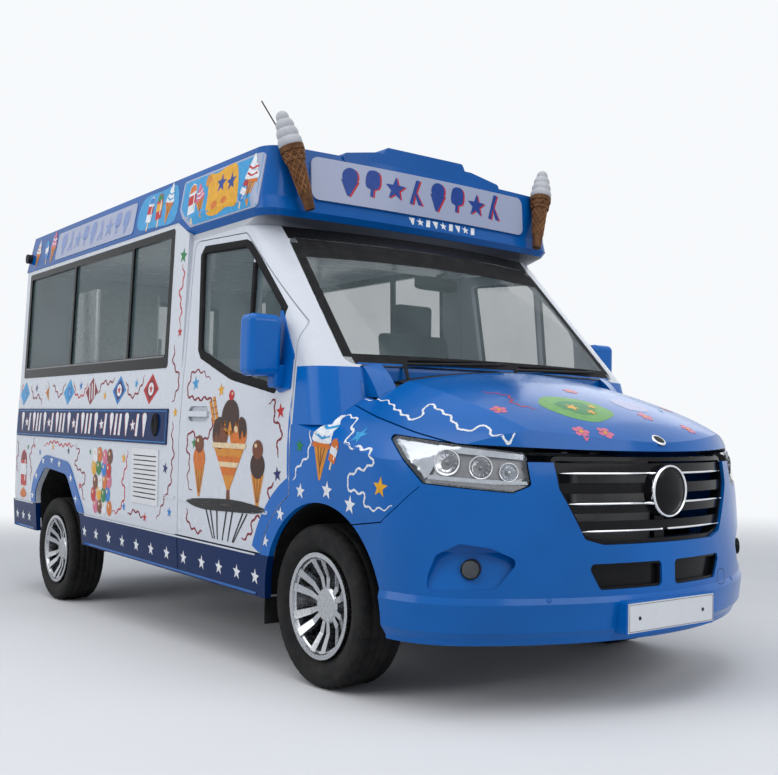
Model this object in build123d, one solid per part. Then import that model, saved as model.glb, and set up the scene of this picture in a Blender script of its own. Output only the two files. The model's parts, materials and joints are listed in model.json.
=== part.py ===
from build123d import *
import os
from math import asin, cos, pi, radians, sin, sqrt

# Ice cream van: a panel van with a built-on serving body.
# Millimetres. X runs to the vehicle's left, the nose points to -Y, Z is up.
# The body is drawn level, with y = 0 at the front axle and z = 0 near the road,
# then tilted nose-down by RAKE. Wheels, hubs and knuckles are drawn untilted.

# Running gear
WHEELBASE = 3250
RAKE = 2.0
TYRE_R = 340
TYRE_WIDTH = 225
TYRE_INNER_R = 216
TYRE_SHOULDER = 34
RIM_FLANGE_R = 222
WHEEL_CENTRE_X = 857
HUB_R = 78
HUB_OUTER_X = 905
SPOKE_PAIRS = 6
SPOKE_LEAN = 11.5
SPOKE_HALF = (9, 19)
KINGPIN_X = 752
KINGPIN_LEAN = 0.176

# Body shell
SILL_Z = 315
SKIRT_TOP = 508
FLOOR_Z = 640
FLOOR_T = 26
TOE_Y = 130
TOE_Z = 800
TOE_TOP = 1064
TOE_HALF = 590
BELT_Z = 1385
ROOF_Z = 2060
BOX_TOP_Z = 2176
BOX_FRONT = 1336
BOX_REAR = 4092
REAR_WALL_T = 38
WALL_T = 34
DOOR_T = 46
SHUT_GAP = 5
SEAT_GAP = 0.3
SILL_HALF = 985
SKIRT_HALF = 1001
SKIRT_BEND = 50
WAIST_HALF = 1005
WAIST_Z = 1000
BELT_HALF = 985
CAB_TOP_HALF = 938
BOX_TOP_HALF = 958
COWL_HALF = 1003
COWL_Z = 1100
SCREEN_BASE_Z = 1350
SCREEN_BASE_Y = -150
SCREEN_SLOPE = 0.978
SCREEN_R = 2900
PILLAR_R = 130
COWL_SLOPE = 0.3

# Nose: height, half width, front at the middle, front radius, corner radius
NOSE_LEVELS = (
    (300, 982, -1010, 1500, 340),
    (430, 995, -1042, 1500, 350),
    (660, 1001, -1038, 1480, 370),
    (900, 1005, -1030, 1400, 420),
    (1090, 1003, -985, 1300, 450),
    (1400, 985, -880, 1300, 450),
)
# Bonnet: place along the van, height at the middle, half width and drop of the shoulder,
# then half width and drop of the wing top
BONNET_STATIONS = (
    (250, 1440, 640, 70, 1100, 420),
    (-130, 1372, 640, 70, 1100, 430),
    (-450, 1300, 630, 68, 1100, 430),
    (-750, 1198, 600, 62, 1100, 420),
    (-950, 1092, 560, 50, 1100, 400),
    (-1080, 985, 540, 40, 1100, 380),
)
NOSE_BACK = 260
NOSE_T = 26
BONNET_SEAM = ((-30, 1200), (-250, 1140), (-513, 1078), (-700, 1040), (-1200, 1008))
COWL_GAP = 66
COWL_DROP = 10
BONNET_HINGE = (-45, 1250)
HINGE_X = 650
HINGE_T = 12
PIN_R = 7

# Wheel arches in the side view
FRONT_ARCH_Y = -50
FRONT_ARCH_Z = 325
FRONT_ARCH_R = 452
ARCH_BAND = 76
LINER_Y = -38
LINER_R = 462
LINER_T = 7
LINER_INNER_X = 600
REAR_LINER_X = 660
REAR_ARCH = ((2690, 200), (2720, 480), (2965, 740), (3395, 770), (3590, 610), (3592, 200))
REAR_ARCH_R = 130
FLARE_W = 84
FLARE_T = 7

# Roof signs
FASCIA_T = 24
CROWN_TOP = 2522
CROWN_HALF = 255
CONE_SHARE = 0.64
CONE_TOP = (877, 562, 2587)
CONE_FOOT = (752, 474, 2118)


def outline(points, radius=0):
    """A flat face through the points, its corners rounded."""
    face = make_face(Polyline(*points, close=True))
    return fillet(face.vertices(), radius) if radius else face


def from_side(face, x0, x1):
    """A side-view face (Y across, Z up) pulled from x0 to x1."""
    return Pos(x0, 0, 0) * extrude(Plane.YZ * face, amount=x1 - x0)


def from_front(face, y0, y1):
    """A front-view face (X across, Z up) pulled from y0 back to y1."""
    return Pos(0, y1, 0) * extrude(Plane.XZ * face, amount=y1 - y0)


def from_top(face, z0, z1):
    """A plan-view face pulled from z0 up to z1."""
    return Pos(0, 0, z0) * extrude(face, amount=z1 - z0)


def block(x0, x1, y0, y1, z0, z1):
    """A box between two corners."""
    return Pos((x0 + x1) / 2, (y0 + y1) / 2, (z0 + z1) / 2) * Box(x1 - x0, y1 - y0, z1 - z0)


def twin(shape):
    """The shape and its mirror image on the other side of the van."""
    return [shape, mirror(shape, about=Plane.YZ)]


def plan_section(z, half, front, front_r, corner_r, back, inset):
    """A plan outline: a wide front arc, two corner arcs and straight sides."""
    half = half - inset
    front = front + inset
    front_r = front_r - inset
    corner_r = corner_r - inset
    middle_y = front + front_r
    centre_x = half - corner_r
    centre_y = middle_y - sqrt((front_r - corner_r) ** 2 - centre_x ** 2)
    turn = asin(centre_x / (front_r - corner_r))
    bend = (pi / 2 - turn) / 2
    meet = (centre_x + corner_r * sin(turn), centre_y - corner_r * cos(turn))
    mid = (centre_x + corner_r * cos(bend), centre_y - corner_r * sin(bend))
    edges = [
        Line((half, back), (half, centre_y)),
        ThreePointArc((half, centre_y), mid, meet),
        ThreePointArc(meet, (0, front), (-meet[0], meet[1])),
        ThreePointArc((-meet[0], meet[1]), (-mid[0], mid[1]), (-half, centre_y)),
        Line((-half, centre_y), (-half, back)),
        Line((-half, back), (half, back)),
    ]
    return Pos(0, 0, z) * make_face(edges)


def nose_form(inset=0):
    """The nose below the bonnet, rounded in plan."""
    return loft([plan_section(*level, NOSE_BACK, inset) for level in NOSE_LEVELS])


def bonnet_form(inset=0):
    """Everything under the bonnet's crowned top and the wings' shoulders."""
    sections = []
    for y, top, shoulder, drop, edge, edge_drop in BONNET_STATIONS:
        top = top - inset
        mid = ((shoulder + edge) / 2, top - drop - (edge_drop - drop) * 0.38)
        edges = [
            ThreePointArc((-shoulder, top - drop), (0, top), (shoulder, top - drop)),
            ThreePointArc((shoulder, top - drop), mid, (edge, top - edge_drop)),
            Polyline((edge, top - edge_drop), (edge, 100), (-edge, 100), (-edge, top - edge_drop)),
            ThreePointArc((-edge, top - edge_drop), (-mid[0], mid[1]), (-shoulder, top - drop)),
        ]
        sections.append(Plane((0, y, 0), x_dir=(1, 0, 0), z_dir=(0, -1, 0)) * make_face(edges))
    return loft(sections)


def nose_skin(outer=0, inner=NOSE_T):
    """The nose's shell between two insets."""
    return (nose_form(outer) & bonnet_form(outer)) - (nose_form(inner) & bonnet_form(inner))


def cab_form(inset=0):
    """The cab above the waist: raked windscreen, rounded pillars and leaning sides."""
    top_y = SCREEN_BASE_Y + SCREEN_SLOPE * (ROOF_Z - SCREEN_BASE_Z)
    low_y = SCREEN_BASE_Y - COWL_SLOPE * (SCREEN_BASE_Z - COWL_Z)
    levels = (
        (COWL_Z, COWL_HALF, low_y),
        (SCREEN_BASE_Z, BELT_HALF, SCREEN_BASE_Y),
        (ROOF_Z, CAB_TOP_HALF, top_y),
    )
    sections = []
    for z, half, front in levels:
        sections.append(plan_section(z, half, front, SCREEN_R, PILLAR_R, BOX_FRONT, inset))
    return loft(sections, ruled=True)


def side_skin(outer, inner, y0, y1, z0=SILL_Z, z1=BOX_TOP_Z):
    """The left side wall between two insets: flared sill, upright waist, leaning upper."""
    profile = (
        (SILL_HALF, SILL_Z),
        (SKIRT_HALF, SKIRT_TOP + SKIRT_BEND),
        (WAIST_HALF, WAIST_Z),
        (BELT_HALF + 11, 1200),
        (BELT_HALF, BELT_Z),
        (BOX_TOP_HALF, BOX_TOP_Z),
    )
    a = [(half - outer, z) for half, z in profile]
    b = [(half - inner, z) for half, z in profile]
    edges = [
        Polyline(a[0], a[1], a[2]),
        ThreePointArc(a[2], a[3], a[4]),
        Polyline(a[4], a[5], b[5], b[4]),
        ThreePointArc(b[4], b[3], b[2]),
        Polyline(b[2], b[1], b[0], a[0]),
    ]
    return from_front(make_face(edges), y0, y1) & block(0, 1200, y0, y1, z0, z1)


def untilt(y, z):
    """Where a point of the road frame lies in the level body frame."""
    return y * cos(radians(RAKE)) + z * sin(radians(RAKE)), z * cos(radians(RAKE)) - y * sin(radians(RAKE))


# Doors and their windows in the side view
DOOR_FRONT = 196
DOOR_REAR = 1300
DOOR_BOTTOM = SKIRT_TOP + 7
DOOR_TOP = 2046
HINGE_Z = (830, 960)
DOOR_WINDOW = ((1198, 1984), (720, 1958), (350, 1640), (338, 1262), (770, 1336), (1130, 1456))
DIVIDER_TOP_Y = 640
DIVIDER_FOOT_Y = 600
DIVIDER_W = 16
HANDLE = (985, 1208, 1102, 1180)
HANDLE_DEPTH = 14
HANDLE_REACH = 14
DOOR_SWAGE = (372, 1290)
WALL_SWAGE = (1342, 1532)
SWAGE_Z = (692, 708)
SWAGE_T = 4
BANNER = (1447, 4036, 974, 1167)
BANNER_T = 6

# Serving windows in the side view
WINDOW_FRONT = 1512
WINDOW_REAR = 3985
WINDOW_LOW = 1388
WINDOW_HIGH = 2150
WINDOW_BARS = (2080, 3040)
FRAME_T = 26
FRAME_W = 42
SILL_BAND = 72
GLASS_T = 6


def arch_disc(radius):
    """A round face on the front arch's centre."""
    return Pos(FRONT_ARCH_Y, FRONT_ARCH_Z) * Circle(radius)


def rear_arch_face(grow=0):
    """The rear arch's outline, grown outwards."""
    face = make_face(Polyline(*REAR_ARCH, close=True))
    corners = [v for v in face.vertices() if v.Y > 300]
    face = fillet(corners, REAR_ARCH_R)
    return offset(face, amount=grow) if grow else face


def door_face(gap=0):
    """The cab door in the side view, its foot curved round the wheel arch."""
    arc_r = FRONT_ARCH_R + ARCH_BAND
    foot_y = FRONT_ARCH_Y + sqrt(arc_r ** 2 - (DOOR_BOTTOM - FRONT_ARCH_Z) ** 2)
    knee_z = FRONT_ARCH_Z + sqrt(arc_r ** 2 - (DOOR_FRONT - FRONT_ARCH_Y) ** 2)
    mid_z = (knee_z + DOOR_BOTTOM) / 2
    mid_y = FRONT_ARCH_Y + sqrt(arc_r ** 2 - (mid_z - FRONT_ARCH_Z) ** 2)
    edges = [
        Polyline((foot_y, DOOR_BOTTOM), (DOOR_REAR, DOOR_BOTTOM), (DOOR_REAR, DOOR_TOP)),
        Polyline((DOOR_REAR, DOOR_TOP), (745, DOOR_TOP - 26), (DOOR_FRONT, 1545), (DOOR_FRONT, knee_z)),
        ThreePointArc((DOOR_FRONT, knee_z), (mid_y, mid_z), (foot_y, DOOR_BOTTOM)),
    ]
    face = make_face(edges)
    top = [v for v in face.vertices() if v.Y > 1500]
    face = fillet(top, 55)
    return offset(face, amount=gap) if gap else face


def cab_side(outer, inner):
    """The left cab side between two insets, from the skirt to the roof."""
    upper = (cab_form(outer) - cab_form(inner)) & block(0, 1100, -300, BOX_FRONT, BELT_Z, ROOF_Z)
    return upper + side_skin(outer, inner, -300, BOX_FRONT, SILL_Z, BELT_Z)


WIPERS = ((-600, -60, 15, 26), (-10, 640, 26, 18))

# Chassis
RAIL_X = 400
RAIL_W = 70
RAIL_H = 110
RAIL_TOP = 560
RAIL_FRONT = -860
RAIL_REAR = 4020
CROSSMEMBER_Y = (-825, 560, 1350, 2150, 2600, 3700, 3960)
CROSSMEMBER_W = 60
CROSSMEMBER_H = 60
BEARER_Y = (700, 1350, 2000, 2600, 3720, 3960)
BEARER_W = 50
ENGINE = (-250, 250, -760, -160, 500, 990)
GEARBOX = (-130, 130, 430, 410, 636)
SHAFT_R = 36
SHAFT_FRONT_Z = 468
AXLE_TUBE_R = 42
DIFF_R = 140
SPINDLE_R = 28
SPINDLE_END = 889
AXLE_TUBE_HALF = 752
SPRING_W = 60
SPRING_T = 24
SPRING_HALF = 640
SUBFRAME = (-90, 110, 330, 400)
BALL_JOINT_Z = 206
STRUT_FOOT_Z = 530
STRUT_TOP_Z = 1010
STRUT_R = 29
SPRING_COIL_R = 56
STRUT_CLEAR = 76
TOWER_T = 22
TANK = (500, 850, 640, 1480, 345, 545)
SILENCER = (90, 520, -330, 1600, 390)
EXHAUST_R = 28

# Cabin furniture
SEAT_X = (-430, 430)
SEAT_Y = 830
SEAT_W = 470
DASH_REAR = 400
CONSOLE_HALF = 120
CONSOLE_REAR = 570
COUNTER_DEPTH = 470
COUNTER_TOP = 1180
COUNTER_T = 40
STEERING_X = -405
STEERING_Y = 545
STEERING_Z = 1290
STEERING_R = 190
STEERING_TILT = 62
BOSS_DROP = 20


def chassis_frame():
    """Two box rails, the crossmembers between them and the floor bearers on top."""
    low = RAIL_TOP - RAIL_H
    members = twin(block(RAIL_X, RAIL_X + RAIL_W, RAIL_FRONT, RAIL_REAR, low, RAIL_TOP))
    half = RAIL_X - SEAT_GAP
    for y in CROSSMEMBER_Y:
        y0, y1 = y - CROSSMEMBER_W / 2, y + CROSSMEMBER_W / 2
        members.append(block(-half, half, y0, y1, RAIL_TOP - CROSSMEMBER_H, RAIL_TOP))
    half = BELT_HALF - DOOR_T - 4
    for y in BEARER_Y:
        y0, y1 = y - BEARER_W / 2, y + BEARER_W / 2
        members.append(block(-half, half, y0, y1, RAIL_TOP + SEAT_GAP, FLOOR_Z - SEAT_GAP))
    return members


def wall_half(z):
    """Half width of the body's outer side between the skirt and the waist."""
    rise = (z - SKIRT_TOP - SKIRT_BEND) / (WAIST_Z - SKIRT_TOP - SKIRT_BEND)
    return SKIRT_HALF + (WAIST_HALF - SKIRT_HALF) * rise


def floor():
    """Load and cab floor, with the toe board turned up at the front."""
    cab_half = BELT_HALF - DOOR_T - 4
    box_half = wall_half(FLOOR_Z) - WALL_T - SEAT_GAP
    front = FRONT_ARCH_Y + LINER_R + 45
    top = FLOOR_Z + FLOOR_T
    panel = block(-cab_half, cab_half, front, BOX_FRONT, FLOOR_Z, top)
    panel += block(-box_half, box_half, BOX_FRONT, BOX_REAR - REAR_WALL_T - SEAT_GAP, FLOOR_Z, top)
    toe = Polyline(
        (front + 20, FLOOR_Z), (front, FLOOR_Z), (TOE_Y, TOE_Z), (TOE_Y, TOE_TOP),
        (TOE_Y + FLOOR_T, TOE_TOP), (TOE_Y + FLOOR_T, TOE_Z + 12), (front + 20, top), close=True,
    )
    panel += from_side(make_face(toe), -TOE_HALF, TOE_HALF)
    notch = from_side(rear_arch_face(LINER_T + 4), REAR_LINER_X - 5, 1100)
    return [panel - notch - mirror(notch, about=Plane.YZ)]


def engine_block():
    """The engine as one plain mass at its real place, on its two mounts."""
    x0, x1, y0, y1, z0, z1 = ENGINE
    engine = fillet(block(x0, x1, y0, y1, z0, z1).edges(), 30)
    for side in (-1, 1):
        a, b = sorted((side * (x1 - 40), side * (RAIL_X - SEAT_GAP)))
        engine += block(a, b, -500, -420, RAIL_TOP - 50, RAIL_TOP - 5)
    return [engine]


def driveline():
    """Gearbox and propeller shaft down to the rear axle."""
    axle_y, axle_z = untilt(WHEELBASE, TYRE_R)
    x0, x1, rear, z0, z1 = GEARBOX
    box = fillet(block(x0, x1, ENGINE[3] + SEAT_GAP, rear, z0, z1).edges().filter_by(Axis.Y), 40)
    start = Vector(0, rear - 1, SHAFT_FRONT_Z)
    end = Vector(0, axle_y - DIFF_R - 32, axle_z + 14)
    run = end - start
    shaft = Plane(origin=start, z_dir=run) * Pos(0, 0, run.length / 2) * Cylinder(SHAFT_R, run.length)
    return [box + shaft]


def rear_axle():
    """Live axle: tube, differential, spindles and the two leaf springs clamped on it."""
    axle_y, axle_z = untilt(WHEELBASE, TYRE_R)
    along = Plane((0, axle_y, axle_z), x_dir=(0, 1, 0), z_dir=(1, 0, 0))
    axle = along * Cylinder(AXLE_TUBE_R, 2 * AXLE_TUBE_HALF)
    axle += along * Cylinder(SPINDLE_R, 2 * SPINDLE_END)
    axle += Pos(0, axle_y, axle_z) * Sphere(DIFF_R)
    axle += Plane((0, axle_y - DIFF_R + 40, axle_z), x_dir=(1, 0, 0), z_dir=(0, 1, 0)) * Cone(48, 95, 130)
    eye_z = RAIL_TOP - RAIL_H - SEAT_GAP
    saddle_z = axle_z + AXLE_TUBE_R + SPRING_T / 2
    leaf = ThreePointArc((axle_y - SPRING_HALF, eye_z), (axle_y, saddle_z), (axle_y + SPRING_HALF, eye_z))
    low = ThreePointArc(
        (axle_y + SPRING_HALF, eye_z - SPRING_T),
        (axle_y, saddle_z - SPRING_T),
        (axle_y - SPRING_HALF, eye_z - SPRING_T),
    )
    edges = [leaf, Line(leaf @ 1, low @ 0), low, Line(low @ 1, leaf @ 0)]
    strip = make_face(edges)
    for side in (-1, 1):
        middle = side * (RAIL_X + RAIL_W / 2)
        spring = from_side(strip, middle - SPRING_W / 2, middle + SPRING_W / 2)
        axle += spring
        axle += block(
            middle - 45, middle + 45, axle_y - 55, axle_y + 55, axle_z - AXLE_TUBE_R - 12, saddle_z + 14
        )
    return [axle]


def kingpin_x(z):
    """The steering axis leans in towards the strut's top (road frame)."""
    return KINGPIN_X - KINGPIN_LEAN * (z - TYRE_R)


def kingpin(z, side=1):
    """A point of the steering axis, in the body frame."""
    y, level = untilt(0, z)
    return Vector(side * kingpin_x(z), y, level)


def bar(start, end, radius):
    """A round bar between two points."""
    run = end - start
    return Plane(origin=start, z_dir=run) * Pos(0, 0, run.length / 2) * Cylinder(radius, run.length)


def front_suspension():
    """Subframe with lower arms, and the struts under their towers on the steering axis."""
    y0, y1, z0, z1 = SUBFRAME
    outer = RAIL_X + RAIL_W - 10
    beam = block(-outer, outer, y0, y1, z0, z1)
    arm_end = kingpin_x(BALL_JOINT_Z)
    joint_y = kingpin(BALL_JOINT_Z).Y
    plan = Polyline(
        (RAIL_X, y0 + 5), (arm_end - 20, joint_y - 34), (arm_end, joint_y - 34),
        (arm_end, joint_y + 34), (arm_end - 20, joint_y + 34), (RAIL_X, y1 - 5), close=True,
    )
    drop = Polyline(
        (RAIL_X, z0 + 24), (RAIL_X, z0), (arm_end - 40, BALL_JOINT_Z - 26), (arm_end, BALL_JOINT_Z - 26),
        (arm_end, BALL_JOINT_Z - 10), (arm_end - 40, BALL_JOINT_Z - 10), (RAIL_X + 60, z0 + 24), close=True,
    )
    arm = from_top(make_face(plan), 0, 500) & from_front(make_face(drop), -300, 300)
    arm += bar(kingpin(BALL_JOINT_Z - 34), kingpin(BALL_JOINT_Z), 34)
    strut = bar(kingpin(STRUT_FOOT_Z + SEAT_GAP), kingpin(STRUT_TOP_Z), STRUT_R)
    strut += bar(kingpin(680), kingpin(694), SPRING_COIL_R + 10)
    strut += bar(kingpin(694), kingpin(STRUT_TOP_Z - 10), SPRING_COIL_R)
    top = kingpin(STRUT_TOP_Z)
    low = RAIL_TOP + SEAT_GAP
    strut += block(RAIL_X + 5, top.X + 70, top.Y - 80, top.Y + 80, STRUT_TOP_Z - TOWER_T, STRUT_TOP_Z)
    strut += block(RAIL_X + 5, RAIL_X + 30, top.Y - 80, top.Y + 80, low, STRUT_TOP_Z)
    hanger = block(RAIL_X + 10, RAIL_X + RAIL_W - 10, y0, y1, z1, RAIL_TOP - RAIL_H - SEAT_GAP)
    for piece in twin(arm) + twin(hanger):
        beam += piece
    return [beam] + twin(strut)


def exhaust():
    """Silencer and pipe along the right side of the frame, hung from the rail."""
    radius, length, x, y, z = SILENCER
    path = FilletPolyline((x, 560, 420), (x, 900, 400), (x, 2300, 380), (-560, 2560, 380), radius=60)
    start = Plane(origin=path @ 0, z_dir=path % 0)
    pipe = sweep(start * Circle(EXHAUST_R), path=path)
    silencer = Plane((x, y, z), x_dir=(1, 0, 0), z_dir=(0, 1, 0)) * Cylinder(radius, length)
    hanger = block(-RAIL_X + SEAT_GAP, x, y - 20, y + 20, z + radius - 12, z + radius + 8)
    return [pipe + silencer + hanger]


def fuel_tank():
    """Tank slung outside the left rail on two straps."""
    tank = fillet(block(*TANK).edges(), 35)
    for y in (TANK[2] + 190, TANK[3] - 190):
        tank += block(RAIL_X + RAIL_W + SEAT_GAP, TANK[0] + 40, y - 30, y + 30, 470, 500)
    return [tank]


def cab_shell():
    """Pillars, header and door frames as one pressing, with the bulkhead's posts."""
    shell = cab_form() - cab_form(DOOR_T)
    shell = shell & block(-1100, 1100, -400, BOX_FRONT, COWL_Z, ROOF_Z)
    for wall in twin(side_skin(0, DOOR_T, DOOR_REAR + SHUT_GAP, BOX_FRONT, DOOR_BOTTOM, BELT_Z)):
        shell += wall
    header = cab_form(1) & block(-1100, 1100, -400, BOX_FRONT, ROOF_Z - 24, ROOF_Z)
    shell += header
    opening = door_face(SHUT_GAP)
    shell -= from_side(opening, 700, 1200)
    shell -= from_side(opening, -1200, -700)
    shell -= from_front(screen_face(SEAT_GAP), -500, 900) - block(-1100, 1100, -500, 900, ROOF_Z - 60, 2200)
    shell -= block(-800, 800, -500, 120, COWL_Z - 10, SCREEN_BASE_Z + 8)
    return [max(shell.solids(), key=lambda s: s.volume)]


def screen_face(grow=0):
    """The windscreen's outline seen from the front."""
    points = ((-856, SCREEN_BASE_Z + 14), (856, SCREEN_BASE_Z + 14), (800, 2000), (-800, 2000))
    face = outline(points, 40)
    return offset(face, amount=grow) if grow else face


def windscreen():
    """Curved laminated glass, flush in the pillars and header."""
    glass = (cab_form(3) - cab_form(3 + GLASS_T)) & from_front(screen_face(), -500, 700)
    return list(glass.solids())


def door_panel():
    """The right door with its window cut and the upright between its panes."""
    panel = cab_side(0, DOOR_T) & from_side(door_face(), 700, 1200)
    for z in HINGE_Z:
        panel += block(WAIST_HALF - 24, WAIST_HALF - 4, DOOR_FRONT - SHUT_GAP + SEAT_GAP, DOOR_FRONT + 4, z, z + 90)
    y0, y1, z0, z1 = HANDLE
    cup = outline(((y0, z0), (y1, z0), (y1, z1), (y0, z1)), 34)
    panel -= side_skin(-5, HANDLE_DEPTH, y0 - 20, y1 + 20, z0 - 20, z1 + 20) & from_side(cup, 700, 1200)
    panel += side_skin(-HANDLE_REACH, 6, y0 - 8, y1 + 8, (z0 + z1) / 2 - 14, (z0 + z1) / 2 + 14)
    panel += side_skin(-SWAGE_T, 1, *DOOR_SWAGE, *SWAGE_Z)
    hole = from_side(outline(DOOR_WINDOW, 26), 700, 1200)
    post = Polyline(
        (DIVIDER_FOOT_Y, 1200), (DIVIDER_FOOT_Y + DIVIDER_W, 1200),
        (DIVIDER_TOP_Y + DIVIDER_W, 2020), (DIVIDER_TOP_Y, 2020), close=True,
    )
    post = from_side(make_face(post), 700, 1200)
    return panel - (hole - post)


def door_glass():
    """The door's two panes, seated in their seal."""
    panes = (cab_form(12) - cab_form(12 + GLASS_T)) & block(700, 1200, 0, DOOR_REAR, BELT_Z, ROOF_Z)
    panes += side_skin(12, 12 + GLASS_T, 200, DOOR_REAR, 1200, BELT_Z)
    inner = offset(outline(DOOR_WINDOW, 26), amount=-SEAT_GAP)
    panes = panes & from_side(inner, 700, 1200)
    post = Polyline(
        (DIVIDER_FOOT_Y - SEAT_GAP, 1200), (DIVIDER_FOOT_Y + DIVIDER_W + SEAT_GAP, 1200),
        (DIVIDER_TOP_Y + DIVIDER_W + SEAT_GAP, 2020), (DIVIDER_TOP_Y - SEAT_GAP, 2020), close=True,
    )
    return panes - from_side(make_face(post), 700, 1200)


# Grille, lamps and intake in the front view
GRILLE = ((-524, 1000), (524, 1000), (512, 880), (412, 690), (330, 668), (-330, 668), (-412, 690), (-512, 880))
GRILLE_SLATS = (955, 880, 805, 735)
GRILLE_FRAME_W = 16
BADGE_Z = 868
BADGE_R = 103
INTAKE = ((40, 598), (405, 598), (350, 500), (40, 500))
RECESS = ((79, 500), (74, 560), (46, 632), (-41, 676), (-150, 660), (-252, 615), (-173, 512))
RECESS_WALL = 7
RECESS_DEPTH = 58
FOG = (-80, 582, 37)
FOG_REACH = 1131
LAMP_ANGLE = 50
LAMP = ((282, 1072), (-262, 1012), (-287, 892), (-222, 864), (104, 892))
LAMP_FLANGE = 10
PLATE = (-8, 395, 520, 111)
PLATE_Y = -1066
PLATE_T = 3
BUMPER_SEAM = ((-230, 700), (-480, 735), (-560, 800), (-640, 880), (-640, 980), (-1300, 980))


def lamp_plane():
    """The left headlamp's view: across the corner, LAMP_ANGLE round from the nose."""
    turn = radians(LAMP_ANGLE)
    return Plane((0, 0, 0), x_dir=(cos(turn), sin(turn), 0), z_dir=(sin(turn), -cos(turn), 0))


def lamp_cut(grow=0):
    """The left headlamp's outline pulled through the corner."""
    return corner_prism(LAMP, 12, grow)


def corner_prism(points, radius, grow=0):
    """An outline in the headlamp's view pulled through the left corner."""
    face = outline(points, radius)
    if grow:
        face = offset(face, amount=grow)
    return extrude(lamp_plane() * face, amount=1500)


def recess_floor(lift=0):
    """The fog lamp pocket's floor: level with the skin at its foot, deep under its brow."""
    levels = (
        (470, 996, -1041, 1494, 354, 2),
        (504, 997, -1041, 1492, 357, 3),
        (640, 1000, -1038, 1482, 368, 44),
        (700, 1001, -1037, 1476, 374, 46),
    )
    return loft([plan_section(*level[:5], NOSE_BACK, level[5] - lift) for level in levels], ruled=True)


def above_seam(shift=0):
    """Everything above the bonnet's shut line."""
    points = [(y, z + shift) for y, z in BONNET_SEAM]
    return from_side(make_face(Polyline((400, 1200 + shift), *points, (-1200, 1900), (400, 1900), close=True)), -1200, 1200)


def cowl_cut(gap):
    """The cab's pillars and screen, grown by a gap, with the cowl's tray ahead of the glass."""
    tray = cab_form(-gap - COWL_GAP) & block(-800, 800, -600, 200, COWL_Z, 1500)
    return cab_form(-gap) + tray


def bonnet():
    """The bonnet: crowned skin down to the shut line, open over the cowl, on two hinge arms."""
    skin = nose_skin() & above_seam(SHUT_GAP / 2)
    skin -= cowl_cut(SHUT_GAP)
    skin -= from_front(offset(outline(GRILLE, 24), amount=SHUT_GAP), -1300, -800)
    skin -= block(-1200, 1200, BONNET_HINGE[0] - 3, 400, 900, 1500)
    skin = max(skin.solids(), key=lambda s: s.volume)
    y, z = BONNET_HINGE
    arm = Polyline(
        (y - 200, z - 20), (y - 12, z - 15), (y + 12, z - 11), (y + 16, z + 4),
        (y, z + 16), (y - 120, z + 14), (y - 200, z + 30), close=True,
    )
    arm = from_side(make_face(arm), HINGE_X, HINGE_X + HINGE_T) & bonnet_form(NOSE_T - 8)
    arm -= along_x(y, z, HINGE_X - 5, HINGE_X + HINGE_T + 5, PIN_R + SEAT_GAP)
    for piece in twin(arm):
        skin += piece
    return [max(skin.solids(), key=lambda s: s.volume)]


def along_x(y, z, x0, x1, radius):
    """A round pin along X."""
    return Plane((x0, y, z), x_dir=(0, 1, 0), z_dir=(1, 0, 0)) * Pos(0, 0, (x1 - x0) / 2) * Cylinder(radius, x1 - x0)


def bumper_zone(shift=0):
    """Side-view zone of the bumper, ahead of the arch and under the seam."""
    points = [(y, z + shift) for y, z in BUMPER_SEAM]
    return from_side(make_face(Polyline((-230, 250), *points, (-1300, 250), close=True)), -1200, 1200)


def front_wings():
    """Both wings: from the bonnet's shut line to the arch, back to the door."""
    skin = (nose_skin() & block(0, 1100, -1200, NOSE_BACK, SILL_Z, 1400)) - above_seam(-SHUT_GAP / 2)
    leg = side_skin(0, NOSE_T, 180, 460, SILL_Z, 900)
    skin = (skin & block(0, 1200, -1200, 190, 0, 2000)) + (leg & block(0, 1200, 190, 460, 0, 2000))
    skin -= from_side(door_face(SHUT_GAP), 600, 1200)
    skin -= from_side(arch_disc(FRONT_ARCH_R), 600, 1200)
    skin -= bumper_zone(SHUT_GAP / 2)
    skin -= lamp_cut(SHUT_GAP / 2)
    skin -= cab_form(-SEAT_GAP)
    skin -= block(0, 1200, FRONT_ARCH_Y, 500, 0, SKIRT_TOP + SEAT_GAP)
    skin -= block(0, 1200, DOOR_FRONT - SHUT_GAP, 500, 800, 2000)
    return twin(max(skin.solids(), key=lambda s: s.volume))


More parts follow.
